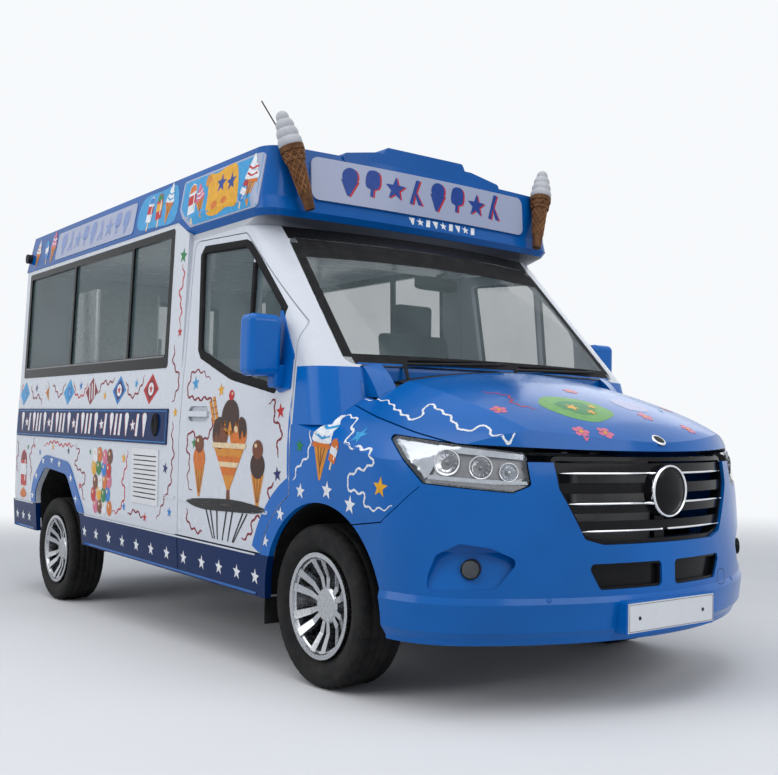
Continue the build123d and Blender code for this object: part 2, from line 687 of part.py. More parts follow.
def front_bumper():
    """Bumper cover with the grille frame, intake, fog lamp pockets and lower lip."""
    skin = nose_skin() & bumper_zone(-SHUT_GAP / 2)
    lip_levels = [
        plan_section(312, 978, -1006, 1500, 340, -150, -4),
        plan_section(352, 992, -1026, 1500, 345, -150, -16),
        plan_section(455, 996, -1040, 1500, 350, -150, -14),
        plan_section(482, 998, -1040, 1500, 350, -150, 0),
    ]
    lip = loft(lip_levels, ruled=True) - nose_form(12)
    skin += lip & block(-1100, 1100, -1200, -300, 300, 482)
    pad = outline(((-PLATE[2] / 2 - 8, -PLATE[3] / 2 - 8), (PLATE[2] / 2 + 8, -PLATE[3] / 2 - 8),
                   (PLATE[2] / 2 + 8, PLATE[3] / 2 + 8), (-PLATE[2] / 2 - 8, PLATE[3] / 2 + 8)), 12)
    pad = from_front(Pos(PLATE[0], PLATE[1]) * pad, PLATE_Y + SEAT_GAP, -900) - nose_form(12)
    skin += pad
    skin -= above_seam(-SHUT_GAP / 2)
    skin -= from_side(arch_disc(FRONT_ARCH_R), -1200, 1200)
    for cut in twin(lamp_cut(SHUT_GAP / 2)):
        skin -= cut
    skin -= from_front(outline(GRILLE, 24), -1300, -700)
    deep = nose_form(RECESS_DEPTH)
    wall = (nose_form(1) - deep) & (corner_prism(RECESS, 24, RECESS_WALL) - corner_prism(RECESS, 24))
    pocket = (recess_floor() - deep) & corner_prism(RECESS, 24, RECESS_WALL - 1)
    for side in (0, 1):
        hollow, ring, floor_piece = corner_prism(RECESS, 24), wall, pocket
        hole = from_front(outline(INTAKE, 20), -1300, -700)
        if side:
            hollow, ring, floor_piece, hole = (mirror(s, about=Plane.YZ) for s in (hollow, ring, floor_piece, hole))
        skin = skin - hollow - hole + ring + floor_piece
    low, high = RAIL_TOP - RAIL_H + 6, RAIL_TOP - 6
    horn = block(RAIL_X + 8, RAIL_X + RAIL_W - 8, -1000, RAIL_FRONT - SEAT_GAP, low, high)
    for piece in twin(horn & nose_form(8)):
        skin += piece
    return [max(skin.solids(), key=lambda s: s.volume)]


def grille():
    """Grille: frame, four convex slats, a domed blank boss and the intake's mesh behind."""
    frame_face = offset(outline(GRILLE, 24), amount=-SEAT_GAP)
    inner_face = offset(frame_face, amount=-GRILLE_FRAME_W)
    band = nose_form(14) - nose_form(60)
    ring = band & from_front(frame_face - inner_face, -1300, -700)
    shape = ring
    for z in GRILLE_SLATS:
        slat = from_front(Rectangle(1100, 40), -1300, -700)
        slat = Pos(0, 0, z) * slat
        shape += (nose_form(20) - nose_form(44)) & slat & from_front(frame_face, -1300, -700)
    upright = (nose_form(44) - nose_form(60)) & from_front(Pos(0, 840) * Rectangle(60, 330), -1300, -700)
    shape += upright & from_front(frame_face, -1300, -700)
    boss = Pos(0, -1018, BADGE_Z) * Rot(90, 0, 0) * Cylinder(BADGE_R, 40)
    dome = Pos(0, -1018 + 330, BADGE_Z) * Sphere(350)
    shape += boss + (dome & (Pos(0, -1030, BADGE_Z) * Rot(90, 0, 0) * Cylinder(BADGE_R - 12, 60)))
    mesh_face = offset(outline(INTAKE, 20), amount=-SEAT_GAP)
    edge = from_front(mesh_face - offset(mesh_face, amount=-9), -1300, -700)
    hold = (nose_form(8) - nose_form(NOSE_T + 3)) & edge
    band = Polyline((-390, 588), (390, 588), (345, 508), (-345, 508), close=True)
    mesh = (nose_form(NOSE_T + 2) - nose_form(NOSE_T + 22)) & from_front(make_face(band), -1300, -700)
    for piece in twin(hold):
        mesh += piece
    return [shape, max(mesh.solids(), key=lambda s: s.volume)]


def fog_lamps():
    """Round fog lamps standing on the floors of their pockets."""
    across, z, radius = FOG
    spot = lamp_plane() * Pos(across, z, FOG_REACH - 60)
    lamp = spot * Pos(0, 0, 30) * Cylinder(radius, 60) - recess_floor(SEAT_GAP)
    lamp = max(lamp.solids(), key=lambda s: s.volume)
    return twin(lamp)


def headlamps():
    """Clear lenses over their housings, wrapped round the corners and held behind the wings' edges."""
    zone = block(200, 1200, -1200, -300, 800, 1200)
    lamp = (nose_form(1) & bonnet_form(1)) - (nose_form(60) & bonnet_form(60))
    lamp = lamp & lamp_cut() & zone
    back = NOSE_T + SEAT_GAP
    rear = (nose_form(back) & bonnet_form(back)) - (nose_form(60) & bonnet_form(60))
    lamp += (rear & lamp_cut(LAMP_FLANGE) & zone) - above_seam(-SHUT_GAP - SHUT_GAP / 2)
    return twin(max(lamp.solids(), key=lambda s: s.volume))


def cowl():
    """The plastic tray under the wipers, with the bonnet's hinge brackets at its ends."""
    tray = cab_form(-COWL_GAP) - cab_form(-SEAT_GAP)
    tray = tray & bonnet_form(COWL_DROP) & block(-796, 796, -400, 200, 1230, 1400)
    tray -= bonnet_form(COWL_DROP + 12)
    wall = cab_form(-COWL_GAP) - cab_form(-COWL_GAP + 12)
    wall = wall & bonnet_form(COWL_DROP) & block(-796, 796, -400, 200, 1190, 1400)
    tray += wall
    y, z = BONNET_HINGE
    for slot in twin(block(HINGE_X - 6, HINGE_X + HINGE_T + 2, y - 220, y + 22, z - 25, z + 200)):
        tray -= slot
    bracket = block(HINGE_X + HINGE_T + 2, HINGE_X + HINGE_T + 12, y - 118, y + 16, z - 40, z + 16)
    bracket += along_x(y, z, HINGE_X + 1, HINGE_X + HINGE_T + 6, PIN_R)
    for piece in twin(bracket):
        tray += piece
    return [max(tray.solids(), key=lambda s: s.volume)]


# Roof sign: height, half width, front, front radius, corner radius
CANOPY_LEVELS = (
    (2092, 938, 520, 9000, 110),
    (2122, 958, 500, 9000, 120),
    (2186, 962, 522, 9000, 120),
    (2432, 922, 540, 9000, 110),
)
ROOF_T = 22
CANOPY_REAR = 4076
CANOPY_REAR_TOP = 4030
SIGN_LOW = 2190
SIGN_HIGH = 2402
SIGN_HALF = 705
SIGN_T = 12
LOUVRE = (1545, 1905, 640, 945)
LOUVRE_SLATS = 10
MIRROR = (986, 1172, 262, 378, 1300, 1582)
CURL_FRONT = 1330
CURL_REAR = 1480
REAR_PLATE_Z = 900
STEP = (96, 940, 352, 470)
FLAP_X = (770, 972)
FLAP_Y = (424, 432)
FLAP_LOW = 196
SIDE_SIGN = ((622, 2128), (1330, 2128), (1420, 2190), (1470, 2240), (1470, 2398), (622, 2398))
NAME_SIGN = ((2105, 2202), (3470, 2202), (3470, 2392), (2105, 2392))
REAR_SIGN = ((-620, 2204), (620, 2204), (620, 2392), (-620, 2392))
BOARD_T = 4
REAR_WINDOW = ((-620, 1400), (620, 1400), (620, 2050), (-620, 2050))


def walls_cut():
    """Openings of the left side wall: the serving window and the rear arch."""
    window = Pos((WINDOW_FRONT + WINDOW_REAR) / 2, (WINDOW_LOW + WINDOW_HIGH) / 2) * Rectangle(
        WINDOW_REAR - WINDOW_FRONT, WINDOW_HIGH - WINDOW_LOW
    )
    window = fillet(window.vertices(), 22)
    return from_side(window, 800, 1200) + from_side(rear_arch_face(), 800, 1200)


def side_walls():
    """Serving body walls, windows and rear arches cut."""
    wall = side_skin(0, WALL_T, BOX_FRONT + SEAT_GAP, BOX_REAR - REAR_WALL_T - SEAT_GAP, SKIRT_TOP + SEAT_GAP)
    louvre = block(800, 1200, LOUVRE[0] + 14, LOUVRE[1] - 14, LOUVRE[2] + 14, LOUVRE[3] - 14)
    low = CANOPY_LEVELS[0][0] - SEAT_GAP
    curl = Polyline((CURL_FRONT, low), (CURL_REAR + 1, BOX_TOP_Z), (CURL_FRONT, BOX_TOP_Z), close=True)
    curl = from_side(make_face(curl), 800, 1200)
    wall += side_skin(-SWAGE_T, 1, *WALL_SWAGE, *SWAGE_Z)
    return twin(wall - walls_cut() - louvre - curl)


def banner_boards():
    """Long name boards under the serving windows, left blank."""
    y0, y1, z0, z1 = BANNER
    board = outline(((y0, z0), (y1, z0), (y1, z1), (y0, z1)), 8)
    plate = side_skin(-BANNER_T, -SEAT_GAP, y0 - 20, y1 + 20, z0 - 20, z1 + 20)
    return twin(plate & from_side(board, 800, 1200))


def rear_wall():
    """Rear wall with rounded corners and its window opening."""
    y0 = BOX_REAR - REAR_WALL_T
    strip = side_skin(0, 980, y0, BOX_REAR, SKIRT_TOP + SEAT_GAP)
    wall = strip + mirror(strip, about=Plane.YZ) + block(-30, 30, y0, BOX_REAR, SKIRT_TOP + SEAT_GAP, BOX_TOP_Z)
    corner = [e for e in wall.edges() if abs(e.center().Y - BOX_REAR) < 1 and abs(e.center().X) > 900 and e.length > 60]
    wall = fillet(corner, REAR_WALL_T - 4)
    hole = outline(REAR_WINDOW, 40)
    return [wall - from_front(hole, y0 - 50, BOX_REAR + 50)]


def window_frames():
    """Black frames of the serving windows and the rear window, with their uprights."""
    low, high = WINDOW_LOW + SEAT_GAP, WINDOW_HIGH - SEAT_GAP
    front, rear = WINDOW_FRONT + SEAT_GAP, WINDOW_REAR - SEAT_GAP
    outer = outline(((front, low), (rear, low), (rear, high), (front, high)), 22)
    panes = []
    edges_y = [front + FRAME_W, *WINDOW_BARS, rear - FRAME_W]
    for a, b in zip(edges_y, edges_y[1:]):
        y0, y1 = a + (14 if a in WINDOW_BARS else 0), b - (14 if b in WINDOW_BARS else 0)
        panes.append(outline(((y0, low + SILL_BAND), (y1, low + SILL_BAND), (y1, high - FRAME_W), (y0, high - FRAME_W)), 8))
    for pane in panes:
        outer -= pane
    frame = side_skin(-2, FRAME_T, BOX_FRONT, BOX_REAR, BELT_Z - 20) & from_side(outer, 800, 1200)
    hole = outline(REAR_WINDOW, 40)
    ring = offset(hole, amount=-SEAT_GAP) - offset(hole, amount=-30)
    back = from_front(ring, BOX_REAR - REAR_WALL_T + 6, BOX_REAR + 2)
    return twin(frame) + [back]


def body_windows():
    """Glass of the serving windows and the rear window, set in the frames."""
    low, high = WINDOW_LOW + SEAT_GAP, WINDOW_HIGH - SEAT_GAP
    edges_y = [WINDOW_FRONT + SEAT_GAP + FRAME_W, *WINDOW_BARS, WINDOW_REAR - SEAT_GAP - FRAME_W]
    skin = side_skin(9, 9 + GLASS_T, BOX_FRONT, BOX_REAR, BELT_Z)
    glass = []
    for a, b in zip(edges_y, edges_y[1:]):
        y0, y1 = a + (14 if a in WINDOW_BARS else 0) + SEAT_GAP, b - (14 if b in WINDOW_BARS else 0) - SEAT_GAP
        z0, z1 = low + SILL_BAND + SEAT_GAP, high - FRAME_W - SEAT_GAP
        pane = skin & from_side(outline(((y0, z0), (y1, z0), (y1, z1), (y0, z1)), 8), 800, 1200)
        glass += twin(pane)
    hole = outline(REAR_WINDOW, 40)
    glass.append(from_front(offset(hole, amount=-30 - SEAT_GAP), BOX_REAR - 18, BOX_REAR - 18 + GLASS_T))
    return glass


def skirts():
    """Lower skirts: under the doors, between the axles and behind the rear wheels."""
    pieces = []
    cut = from_side(rear_arch_face(), 600, 1200) + from_side(arch_disc(FRONT_ARCH_R), 600, 1200)
    for y0, y1 in ((300, 1302), (1310, 3000), (3300, BOX_REAR)):
        strip = side_skin(-3, 30, y0, y1, SILL_Z, SKIRT_TOP)
        strip = strip - cut
        strip = [s for s in strip.solids() if s.center().Y > 380 and s.volume > 1e5]
        if y0 == 1310:
            strip = [s for s in strip if s.center().Y < 3000]
        pieces += [s for piece in strip for s in twin(piece)]
    return pieces


def arch_liners():
    """Wheel-arch liners, the front pair open round the struts, and the flaps behind the front wheels."""
    ring = Circle(LINER_R + LINER_T) - Circle(LINER_R)
    ring = Pos(LINER_Y, FRONT_ARCH_Z) * ring & Pos(0, 1000) * Rectangle(1100, 1350)
    front = from_side(ring, LINER_INNER_X, SILL_HALF)
    front = front & (nose_form(NOSE_T + SEAT_GAP) + block(0, SILL_HALF - NOSE_T - 12, 200, 500, 0, 2000))
    top = kingpin(LINER_R + FRONT_ARCH_Z)
    front -= block(0, top.X + STRUT_CLEAR, top.Y - STRUT_CLEAR, top.Y + STRUT_CLEAR, 600, 1000)
    keep = Pos(3150, 700) * Rectangle(1200, 700)
    band = (rear_arch_face(LINER_T) - rear_arch_face()) & keep
    rear = from_side(band, REAR_LINER_X, SILL_HALF) - side_skin(-50, WALL_T + SEAT_GAP, 2500, 3800)
    rear += from_side(rear_arch_face(LINER_T) & keep, REAR_LINER_X, REAR_LINER_X + LINER_T)
    flap = block(*FLAP_X, *FLAP_Y, FLAP_LOW, SILL_Z - SEAT_GAP)
    return twin(front) + twin(rear) + twin(flap)


def arch_flares():
    """Raised bands round the rear wheel arches."""
    band = rear_arch_face(FLARE_W) - rear_arch_face()
    band = from_side(band, 800, 1200) & block(800, 1200, 2400, 3900, SKIRT_TOP + 6, 1200)
    return twin(band & side_skin(-FLARE_T, -SEAT_GAP, 2400, 3900))


def roof_panel():
    """Flat roof of the serving body, lying on its walls."""
    half = BOX_TOP_HALF - FASCIA_T - SEAT_GAP
    return [block(-half, half, BOX_FRONT, CANOPY_REAR - FASCIA_T - 6, BOX_TOP_Z, BOX_TOP_Z + ROOF_T)]


def canopy_form(inset=0):
    """The sign canopy's outer faces: upright boards round the roof."""
    sections = []
    for index, (z, half, front, front_r, corner_r) in enumerate(CANOPY_LEVELS):
        rear = CANOPY_REAR if index < 3 else CANOPY_REAR_TOP
        sections.append(plan_section(z, half, front, front_r, corner_r, rear - inset, inset))
    return loft(sections, ruled=True)


def roof_canopy():
    """Blue sign boards round the roof with the raised crown over the front."""
    shell = canopy_form() - canopy_form(FASCIA_T)
    keep = Polyline((400, 2092), (CURL_FRONT, 2092), (CURL_REAR, BOX_TOP_Z), (4200, BOX_TOP_Z), (4200, 2432), (400, 2432), close=True)
    shell = shell & from_side(make_face(keep), -1100, 1100)
    top = canopy_form(FASCIA_T - 1) & block(-1100, 1100, 400, 4200, 2392, 2412)
    shell += top
    crown = outline(((-CROWN_HALF - 60, 2404), (CROWN_HALF + 60, 2404), (CROWN_HALF, CROWN_TOP), (-CROWN_HALF, CROWN_TOP)), 24)
    brow = outline(((-760, 2404), (760, 2404), (CROWN_HALF + 60, CROWN_TOP - 36), (-CROWN_HALF - 60, CROWN_TOP - 36)), 24)
    shell += from_front(crown, 548, 760) + from_front(brow, 546, 900)
    return [shell]


def canopy_soffit():
    """White cove between the cab's roof and the sign boards' lower edge."""
    top_y = SCREEN_BASE_Y + SCREEN_SLOPE * (ROOF_Z - SCREEN_BASE_Z)
    lower = plan_section(ROOF_Z + SEAT_GAP, CAB_TOP_HALF, top_y, SCREEN_R, PILLAR_R, BOX_FRONT, 0)
    upper = plan_section(2092 - SEAT_GAP, 936, 522, 9000, 110, BOX_FRONT, 0)
    cove = loft([lower, upper], ruled=True)
    return [cove]


def sign_panels():
    """Blank sign boards: front, both sides and rear."""
    board = outline(((-SIGN_HALF, SIGN_LOW), (SIGN_HALF, SIGN_LOW), (SIGN_HALF, SIGN_HIGH), (-SIGN_HALF, SIGN_HIGH)), 42)
    front = (canopy_form(-SIGN_T) - canopy_form(-SEAT_GAP)) & from_front(board, 300, 700)
    skin = canopy_form(-BOARD_T) - canopy_form(-SEAT_GAP)
    rear = skin & from_front(outline(REAR_SIGN, 30), 3900, 4200)
    boards = [front, rear]
    for points in (SIDE_SIGN, NAME_SIGN):
        boards += twin(skin & from_side(outline(points, 24), 800, 1200))
    return boards


def cones():
    """Wafer cones on both front corners, leaning out, with collar rings and a swirled top."""
    top = Vector(*CONE_TOP)
    foot = Vector(*CONE_FOOT)
    run = top - foot
    length = run.length
    rim = length * CONE_SHARE
    steps = ((24, 0), (42, rim - 78), (50, rim - 74), (50, rim - 54), (54, rim - 50), (54, rim - 30),
             (60, rim - 26), (60, rim))
    wafer = revolve(Plane.XZ * make_face(Polyline((0, 0), *steps, (0, rim), close=True)), axis=Axis.Z)
    place = Plane(origin=foot, z_dir=run)
    low = rim + SEAT_GAP
    turn = (length - low) / 4
    edges = [Line((0, low), (55, low))]
    for index, (r0, r1, bulge) in enumerate(((55, 52, 60), (50, 44, 54), (42, 31, 45), (29, 3, 28))):
        z = low + turn * index
        edges.append(ThreePointArc((r0, z), (bulge, z + turn * (0.42 if index < 3 else 0.62)), (r1, z + turn)))
        if index < 3:
            edges.append(Line((r1, z + turn), ((50, 42, 29)[index], z + turn)))
    edges.append(Line((3, length), (0, length)))
    edges.append(Line((0, length), (0, low)))
    ice = revolve(Plane.XZ * make_face(edges), axis=Axis.Z)
    keep_off = canopy_form(-SEAT_GAP)
    return twin(place * wafer - keep_off), twin(place * ice - keep_off)


def mirror_unit():
    """Left mirror: housing, arm and the triangular base on the door."""
    x0, x1, y0, y1, z0, z1 = MIRROR
    housing = block(x0 + 22, x1, y0, y1, z0 + 8, z1)
    housing = fillet(housing.edges(), 34)
    arm = fillet(block(x0 - 8, x0 + 60, y0 + 6, y0 + 74, z0 - 40, z0 + 62).edges(), 14)
    sail_face = outline(((212, 1255), (300, 1238), (346, 1262), (352, 1636), (206, 1405)), 10)
    sail = (cab_form(-7) - cab_form(-SEAT_GAP)) & block(0, 1200, 0, 600, BELT_Z, ROOF_Z)
    sail += side_skin(-7, -SEAT_GAP, 100, 600, 1150, BELT_Z)
    sail = sail & from_side(sail_face, 800, 1200)
    skin = side_skin(-SEAT_GAP, DOOR_T, 100, 600, SILL_Z, BELT_Z) + (cab_form(-SEAT_GAP) & block(0, 1200, 0, 600, BELT_Z, ROOF_Z))
    return sail + (housing + arm - skin)


def on_glass(x, z, stand):
    """A point over the windscreen's outer face, standing off it."""
    sag = SCREEN_R - sqrt(SCREEN_R ** 2 - x ** 2)
    away = stand * sqrt(1 + SCREEN_SLOPE ** 2)
    return Vector(x, SCREEN_BASE_Y + sag + SCREEN_SLOPE * (z - SCREEN_BASE_Z) - away, z)


def wipers():
    """Two wiper arms on their posts, parked along the foot of the windscreen."""
    pieces = []
    for pivot_x, tip_x, pivot_stand, tip_stand in WIPERS:
        pivot = on_glass(pivot_x, SCREEN_BASE_Z + 22, pivot_stand)
        tip = on_glass(tip_x, SCREEN_BASE_Z + 44, tip_stand)
        foot = Vector(pivot_x, pivot.Y - 40, pivot.Z - 90)
        post = bar(foot, pivot + Vector(0, 1, 1), 8) - bonnet_form(COWL_DROP - SEAT_GAP)
        pieces.append(max(post.solids(), key=lambda s: s.center().Z) + bar(pivot, tip, 7))
    return pieces


def louvre_vents():
    """Fridge louvres in both side walls: a frame with sloping slats."""
    y0, y1, z0, z1 = LOUVRE
    plate = block(0, 1200, y0, y1, z0, z1) & side_skin(-5, -SEAT_GAP, y0, y1, SILL_Z)
    plug = block(0, 1200, y0 + 14.3, y1 - 14.3, z0 + 14.3, z1 - 14.3) & side_skin(-2, 10, y0, y1, SILL_Z)
    vent = plate + plug
    pitch = (z1 - z0 - 50) / LOUVRE_SLATS
    slot_face = Polyline((WAIST_HALF - 22, 0), (WAIST_HALF + 12, pitch * 0.36), (WAIST_HALF + 12, pitch * 0.6),
                         (WAIST_HALF - 22, pitch * 0.24), close=True)
    for index in range(LOUVRE_SLATS):
        slot = from_front(Pos(0, z0 + 26 + pitch * index) * make_face(slot_face), y0 + 26, y1 - 26)
        vent -= slot
    return twin(vent)


def rear_lamps():
    """Upright lamp clusters on the rear corners."""
    lamp = fillet(block(848, 956, BOX_REAR + SEAT_GAP, BOX_REAR + 26, 760, 1130).edges().filter_by(Axis.Y), 20)
    return twin(lamp)


def rear_bumper():
    """Full-width step bumper on its two brackets."""
    reach, half, low, high = STEP
    step = fillet(block(-half, half, BOX_REAR + 4, BOX_REAR + reach, low, high).edges().filter_by(Axis.Z), 34)
    for side in (-1, 1):
        middle = side * (RAIL_X + RAIL_W / 2)
        step += block(middle - 30, middle + 30, RAIL_REAR + SEAT_GAP, BOX_REAR + 10, high - 70, high)
    step += block(-RAIL_X - RAIL_W, RAIL_X + RAIL_W, RAIL_REAR + SEAT_GAP, RAIL_REAR + 30, high - 70, high)
    return [step]


def number_plates():
    """Blank plates, front and rear."""
    x, z, width, height = PLATE
    front = Pos(x, PLATE_Y - PLATE_T / 2, z) * Box(width, PLATE_T, height)
    rear = Pos(0, BOX_REAR + SEAT_GAP + PLATE_T / 2, REAR_PLATE_Z) * Box(width, PLATE_T, height)
    return [front, rear]


def roof_fittings():
    """Whip aerial on its base, and the rear corner camera pod."""
    base = Pos(-770, 640, 2412 + 14) * Cylinder(20, 28)
    run = Vector(-20, 262, 300)
    rod = Plane(origin=(-770, 640, 2436), z_dir=run) * Pos(0, 0, run.length / 2) * Cylinder(3.5, run.length)
    pod = Pos(-948, CANOPY_REAR - 50, 2276) * Rot(0, 90, 0) * Cylinder(34, 70)
    pod -= canopy_form(-SEAT_GAP)
    return [base + rod, max(pod.solids(), key=lambda s: s.volume)]


def dashboard():
    """Dashboard from the windscreen's foot back to the knee room, with the steering column."""
    face = Polyline((-120, 1105), (DASH_REAR - 60, 1050), (DASH_REAR, 1120), (DASH_REAR - 10, 1240),
                    (DASH_REAR - 90, 1290), (-40, 1300), (-120, 1290), close=True)
    slab = from_side(make_face(face), -900, 900)
    slab = slab & cab_form(DOOR_T + 60)
    slab += block(-CONSOLE_HALF, CONSOLE_HALF, DASH_REAR - 60, CONSOLE_REAR, 900, COWL_Z + 40)
    slab += block(-CONSOLE_HALF, CONSOLE_HALF, CONSOLE_REAR - 80, CONSOLE_REAR, FLOOR_Z + FLOOR_T + SEAT_GAP, 900)
    axis, hub = steering_axis()
    slab += bar(hub - axis * 250, hub - axis * (BOSS_DROP + SEAT_GAP), 24)
    slab += block(STEERING_X - 50, STEERING_X + 50, DASH_REAR - 60, STEERING_Y - 60, 1062, 1150)
    return [slab]


def seats():
    """Two cab seats: plinth, cushion, backrest and headrest in one moulding."""
    pieces = []
    for x in SEAT_X:
        cushion = fillet(block(x - SEAT_W / 2, x + SEAT_W / 2, SEAT_Y - 230, SEAT_Y + 250, 960, 1080).edges(), 30)
        back_face = outline(((SEAT_Y + 170, 1050), (SEAT_Y + 300, 1050), (SEAT_Y + 400, 1640), (SEAT_Y + 300, 1640)), 26)
        back = from_side(back_face, x - SEAT_W / 2 + 15, x + SEAT_W / 2 - 15)
        head = fillet(block(x - 130, x + 130, SEAT_Y + 318, SEAT_Y + 400, 1600, 1820).edges(), 26)
        plinth = block(x - 190, x + 190, SEAT_Y - 160, SEAT_Y + 200, FLOOR_Z + FLOOR_T + SEAT_GAP, 980)
        pieces.append(cushion + back + head + plinth)
    return pieces


def steering_axis():
    """Direction of the steering column and the centre of the wheel."""
    lean = radians(STEERING_TILT)
    return Vector(0, cos(lean), sin(lean)), Vector(STEERING_X, STEERING_Y, STEERING_Z)


def steering_wheel():
    """Steering wheel: rim, three spokes and boss, leaning on its column."""
    axis, hub = steering_axis()
    wheel = Torus(STEERING_R, 14)
    wheel += Pos(0, 0, 8 - BOSS_DROP / 2 - 4) * Cylinder(50, BOSS_DROP + 8)
    for angle in (90, 210, 330):
        wheel += Rot(0, 0, angle) * (Pos(STEERING_R / 2, 0, 0) * Box(STEERING_R - 10, 34, 12))
    return Plane(origin=hub, x_dir=(1, 0, 0), z_dir=axis) * wheel


def counters():
    """Worktops and cupboards along both sides, with the sink unit's splash wall."""
    inner = BELT_HALF - WALL_T - 8
    low = FLOOR_Z + FLOOR_T + SEAT_GAP
    unit = block(inner - COUNTER_DEPTH, inner, 1560, 4040, low, COUNTER_TOP - COUNTER_T)
    unit += block(inner - COUNTER_DEPTH - 20, inner, 1550, 4044, COUNTER_TOP - COUNTER_T, COUNTER_TOP)
    notch = from_side(rear_arch_face(LINER_T + 6), 640, 1200)
    unit = unit - notch
    return twin(unit)


def ice_cream_machine():
    """Soft-serve machine standing on the counter, with its two draw handles."""
    x0, x1, y0, y1 = -915, -480, 2760, 3240
    low = COUNTER_TOP + SEAT_GAP
    body = fillet(block(x0, x1, y0, y1, low, low + 760).edges().filter_by(Axis.Z), 26)
    for y in (y0 + 150, y1 - 150):
        body += block(x1 - 5, x1 + 70, y - 28, y + 28, low + 360, low + 470)
        body += block(x1 + 60, x1 + 74, y - 8, y + 8, low + 300, low + 480)
    return [body]


def freezer():
    """Display freezer on the other counter."""
    low = COUNTER_TOP + SEAT_GAP
    return [fillet(block(500, 910, 3300, 3960, low, low + 420).edges().filter_by(Axis.Z), 30)]


def tyre():
    """Road tyre round the X axis."""
    half = TYRE_WIDTH / 2
    r = TYRE_R
    profile = [
        Polyline((-half + 22, TYRE_INNER_R), (half - 22, TYRE_INNER_R), (half - 6, TYRE_INNER_R + 24)),
        ThreePointArc((half - 6, TYRE_INNER_R + 24), (half, (TYRE_INNER_R + r) / 2), (half - 8, r - TYRE_SHOULDER)),
        ThreePointArc((half - 8, r - TYRE_SHOULDER), (half - 16, r - 12), (half - 36, r - 3)),
        ThreePointArc((half - 36, r - 3), (0, r), (-half + 36, r - 3)),
        ThreePointArc((-half + 36, r - 3), (-half + 16, r - 12), (-half + 8, r - TYRE_SHOULDER)),
        ThreePointArc((-half + 8, r - TYRE_SHOULDER), (-half, (TYRE_INNER_R + r) / 2), (-half + 6, TYRE_INNER_R + 24)),
        Line((-half + 6, TYRE_INNER_R + 24), (-half + 22, TYRE_INNER_R)),
    ]
    return revolve(make_face(profile), axis=Axis.X)


def rim():
    """Alloy wheel round the X axis, its face towards +X: barrel, hub and paired spokes."""
    half = TYRE_WIDTH / 2
    barrel = [
        (-half + 24, 190), (half - 24, 190), (half - 20, 198), (half - 8, 202), (half - 8, RIM_FLANGE_R),
        (half - 14, RIM_FLANGE_R), (half - 20, TYRE_INNER_R - SEAT_GAP), (-half + 20, TYRE_INNER_R - SEAT_GAP),
        (-half + 14, RIM_FLANGE_R), (-half + 8, RIM_FLANGE_R), (-half + 8, 206), (-half + 24, 202),
    ]
    wheel = revolve(make_face(Polyline(*barrel, close=True)), axis=Axis.X)
    hub_out = HUB_OUTER_X - WHEEL_CENTRE_X
    hub = [(hub_out - 34, SPINDLE_R + SEAT_GAP), (hub_out - 34, HUB_R), (hub_out + 6, HUB_R), (hub_out + 14, HUB_R - 12),
           (hub_out + 14, 0), (hub_out - 8, 0), (hub_out - 8, SPINDLE_R + SEAT_GAP)]
    wheel += revolve(make_face(Polyline(*hub, close=True)), axis=Axis.X)
    dish = Polyline((hub_out - 22, 40), (hub_out + 8, 40), (hub_out + 16, 120), (half - 10, 197), (half - 36, 197),
                    (hub_out - 10, 120), close=True)
    dish = revolve(make_face(dish), axis=Axis.X)
    inner, outer = SPOKE_HALF
    spoke = make_face(Polyline((-inner, 48), (inner, 48), (outer, 199), (-outer, 199), close=True))
    spoke = extrude(Plane.YZ * spoke, amount=200, both=True)
    for pair in range(SPOKE_PAIRS):
        for lean in (-SPOKE_LEAN, SPOKE_LEAN):
            wheel += Rot(360 / SPOKE_PAIRS * pair + lean, 0, 0) * spoke & dish
    return wheel


def knuckle():
    """Left steering knuckle in the road frame: spindle and the upright on the steering axis."""
    start = Vector(kingpin_x(TYRE_R) - 18, 0, TYRE_R)
    body = bar(start, Vector(SPINDLE_END, 0, TYRE_R), SPINDLE_R)
    foot, top = (Vector(kingpin_x(z), 0, z) for z in (BALL_JOINT_Z + SEAT_GAP, STRUT_FOOT_Z))
    return body + bar(foot, top, 27)


def raked(y, z):
    """Where a point of the level body frame lies in the road frame."""
    return y * cos(radians(RAKE)) - z * sin(radians(RAKE)), z * cos(radians(RAKE)) + y * sin(radians(RAKE))


def place(body):
    """Placement that rakes a body piece and centres the van's length on the origin."""
    nose = raked(PLATE_Y - PLATE_T, PLATE[1] + PLATE[3] / 2)[0]
    tail = raked(BOX_REAR + STEP[0], STEP[2])[0]
    centre = Pos(0, -(nose + tail) / 2, 0)
    return centre * Rot(RAKE, 0, 0) if body else centre


def save(name, shapes, body=True):
    """Write one node: its solids in their place."""
    shapes = shapes if isinstance(shapes, list) else [shapes]
    solids = [place(body) * solid for shape in shapes for solid in shape.solids()]
    export_step(solids[0] if len(solids) == 1 else Compound(solids), f"parts/{name}.step")


BODY_NODES = (
    chassis_frame, floor, engine_block, driveline, rear_axle, front_suspension, exhaust, fuel_tank,
    cab_shell, windscreen, front_wings, front_bumper, grille, headlamps, cowl, side_walls, rear_wall,
    window_frames, body_windows, skirts, arch_liners, arch_flares, roof_panel, roof_canopy, canopy_soffit,
    sign_panels, wipers, louvre_vents, rear_lamps, rear_bumper, number_plates, roof_fittings, dashboard,
    seats, counters, ice_cream_machine, freezer, bonnet, steering_wheel, fog_lamps, banner_boards,
)

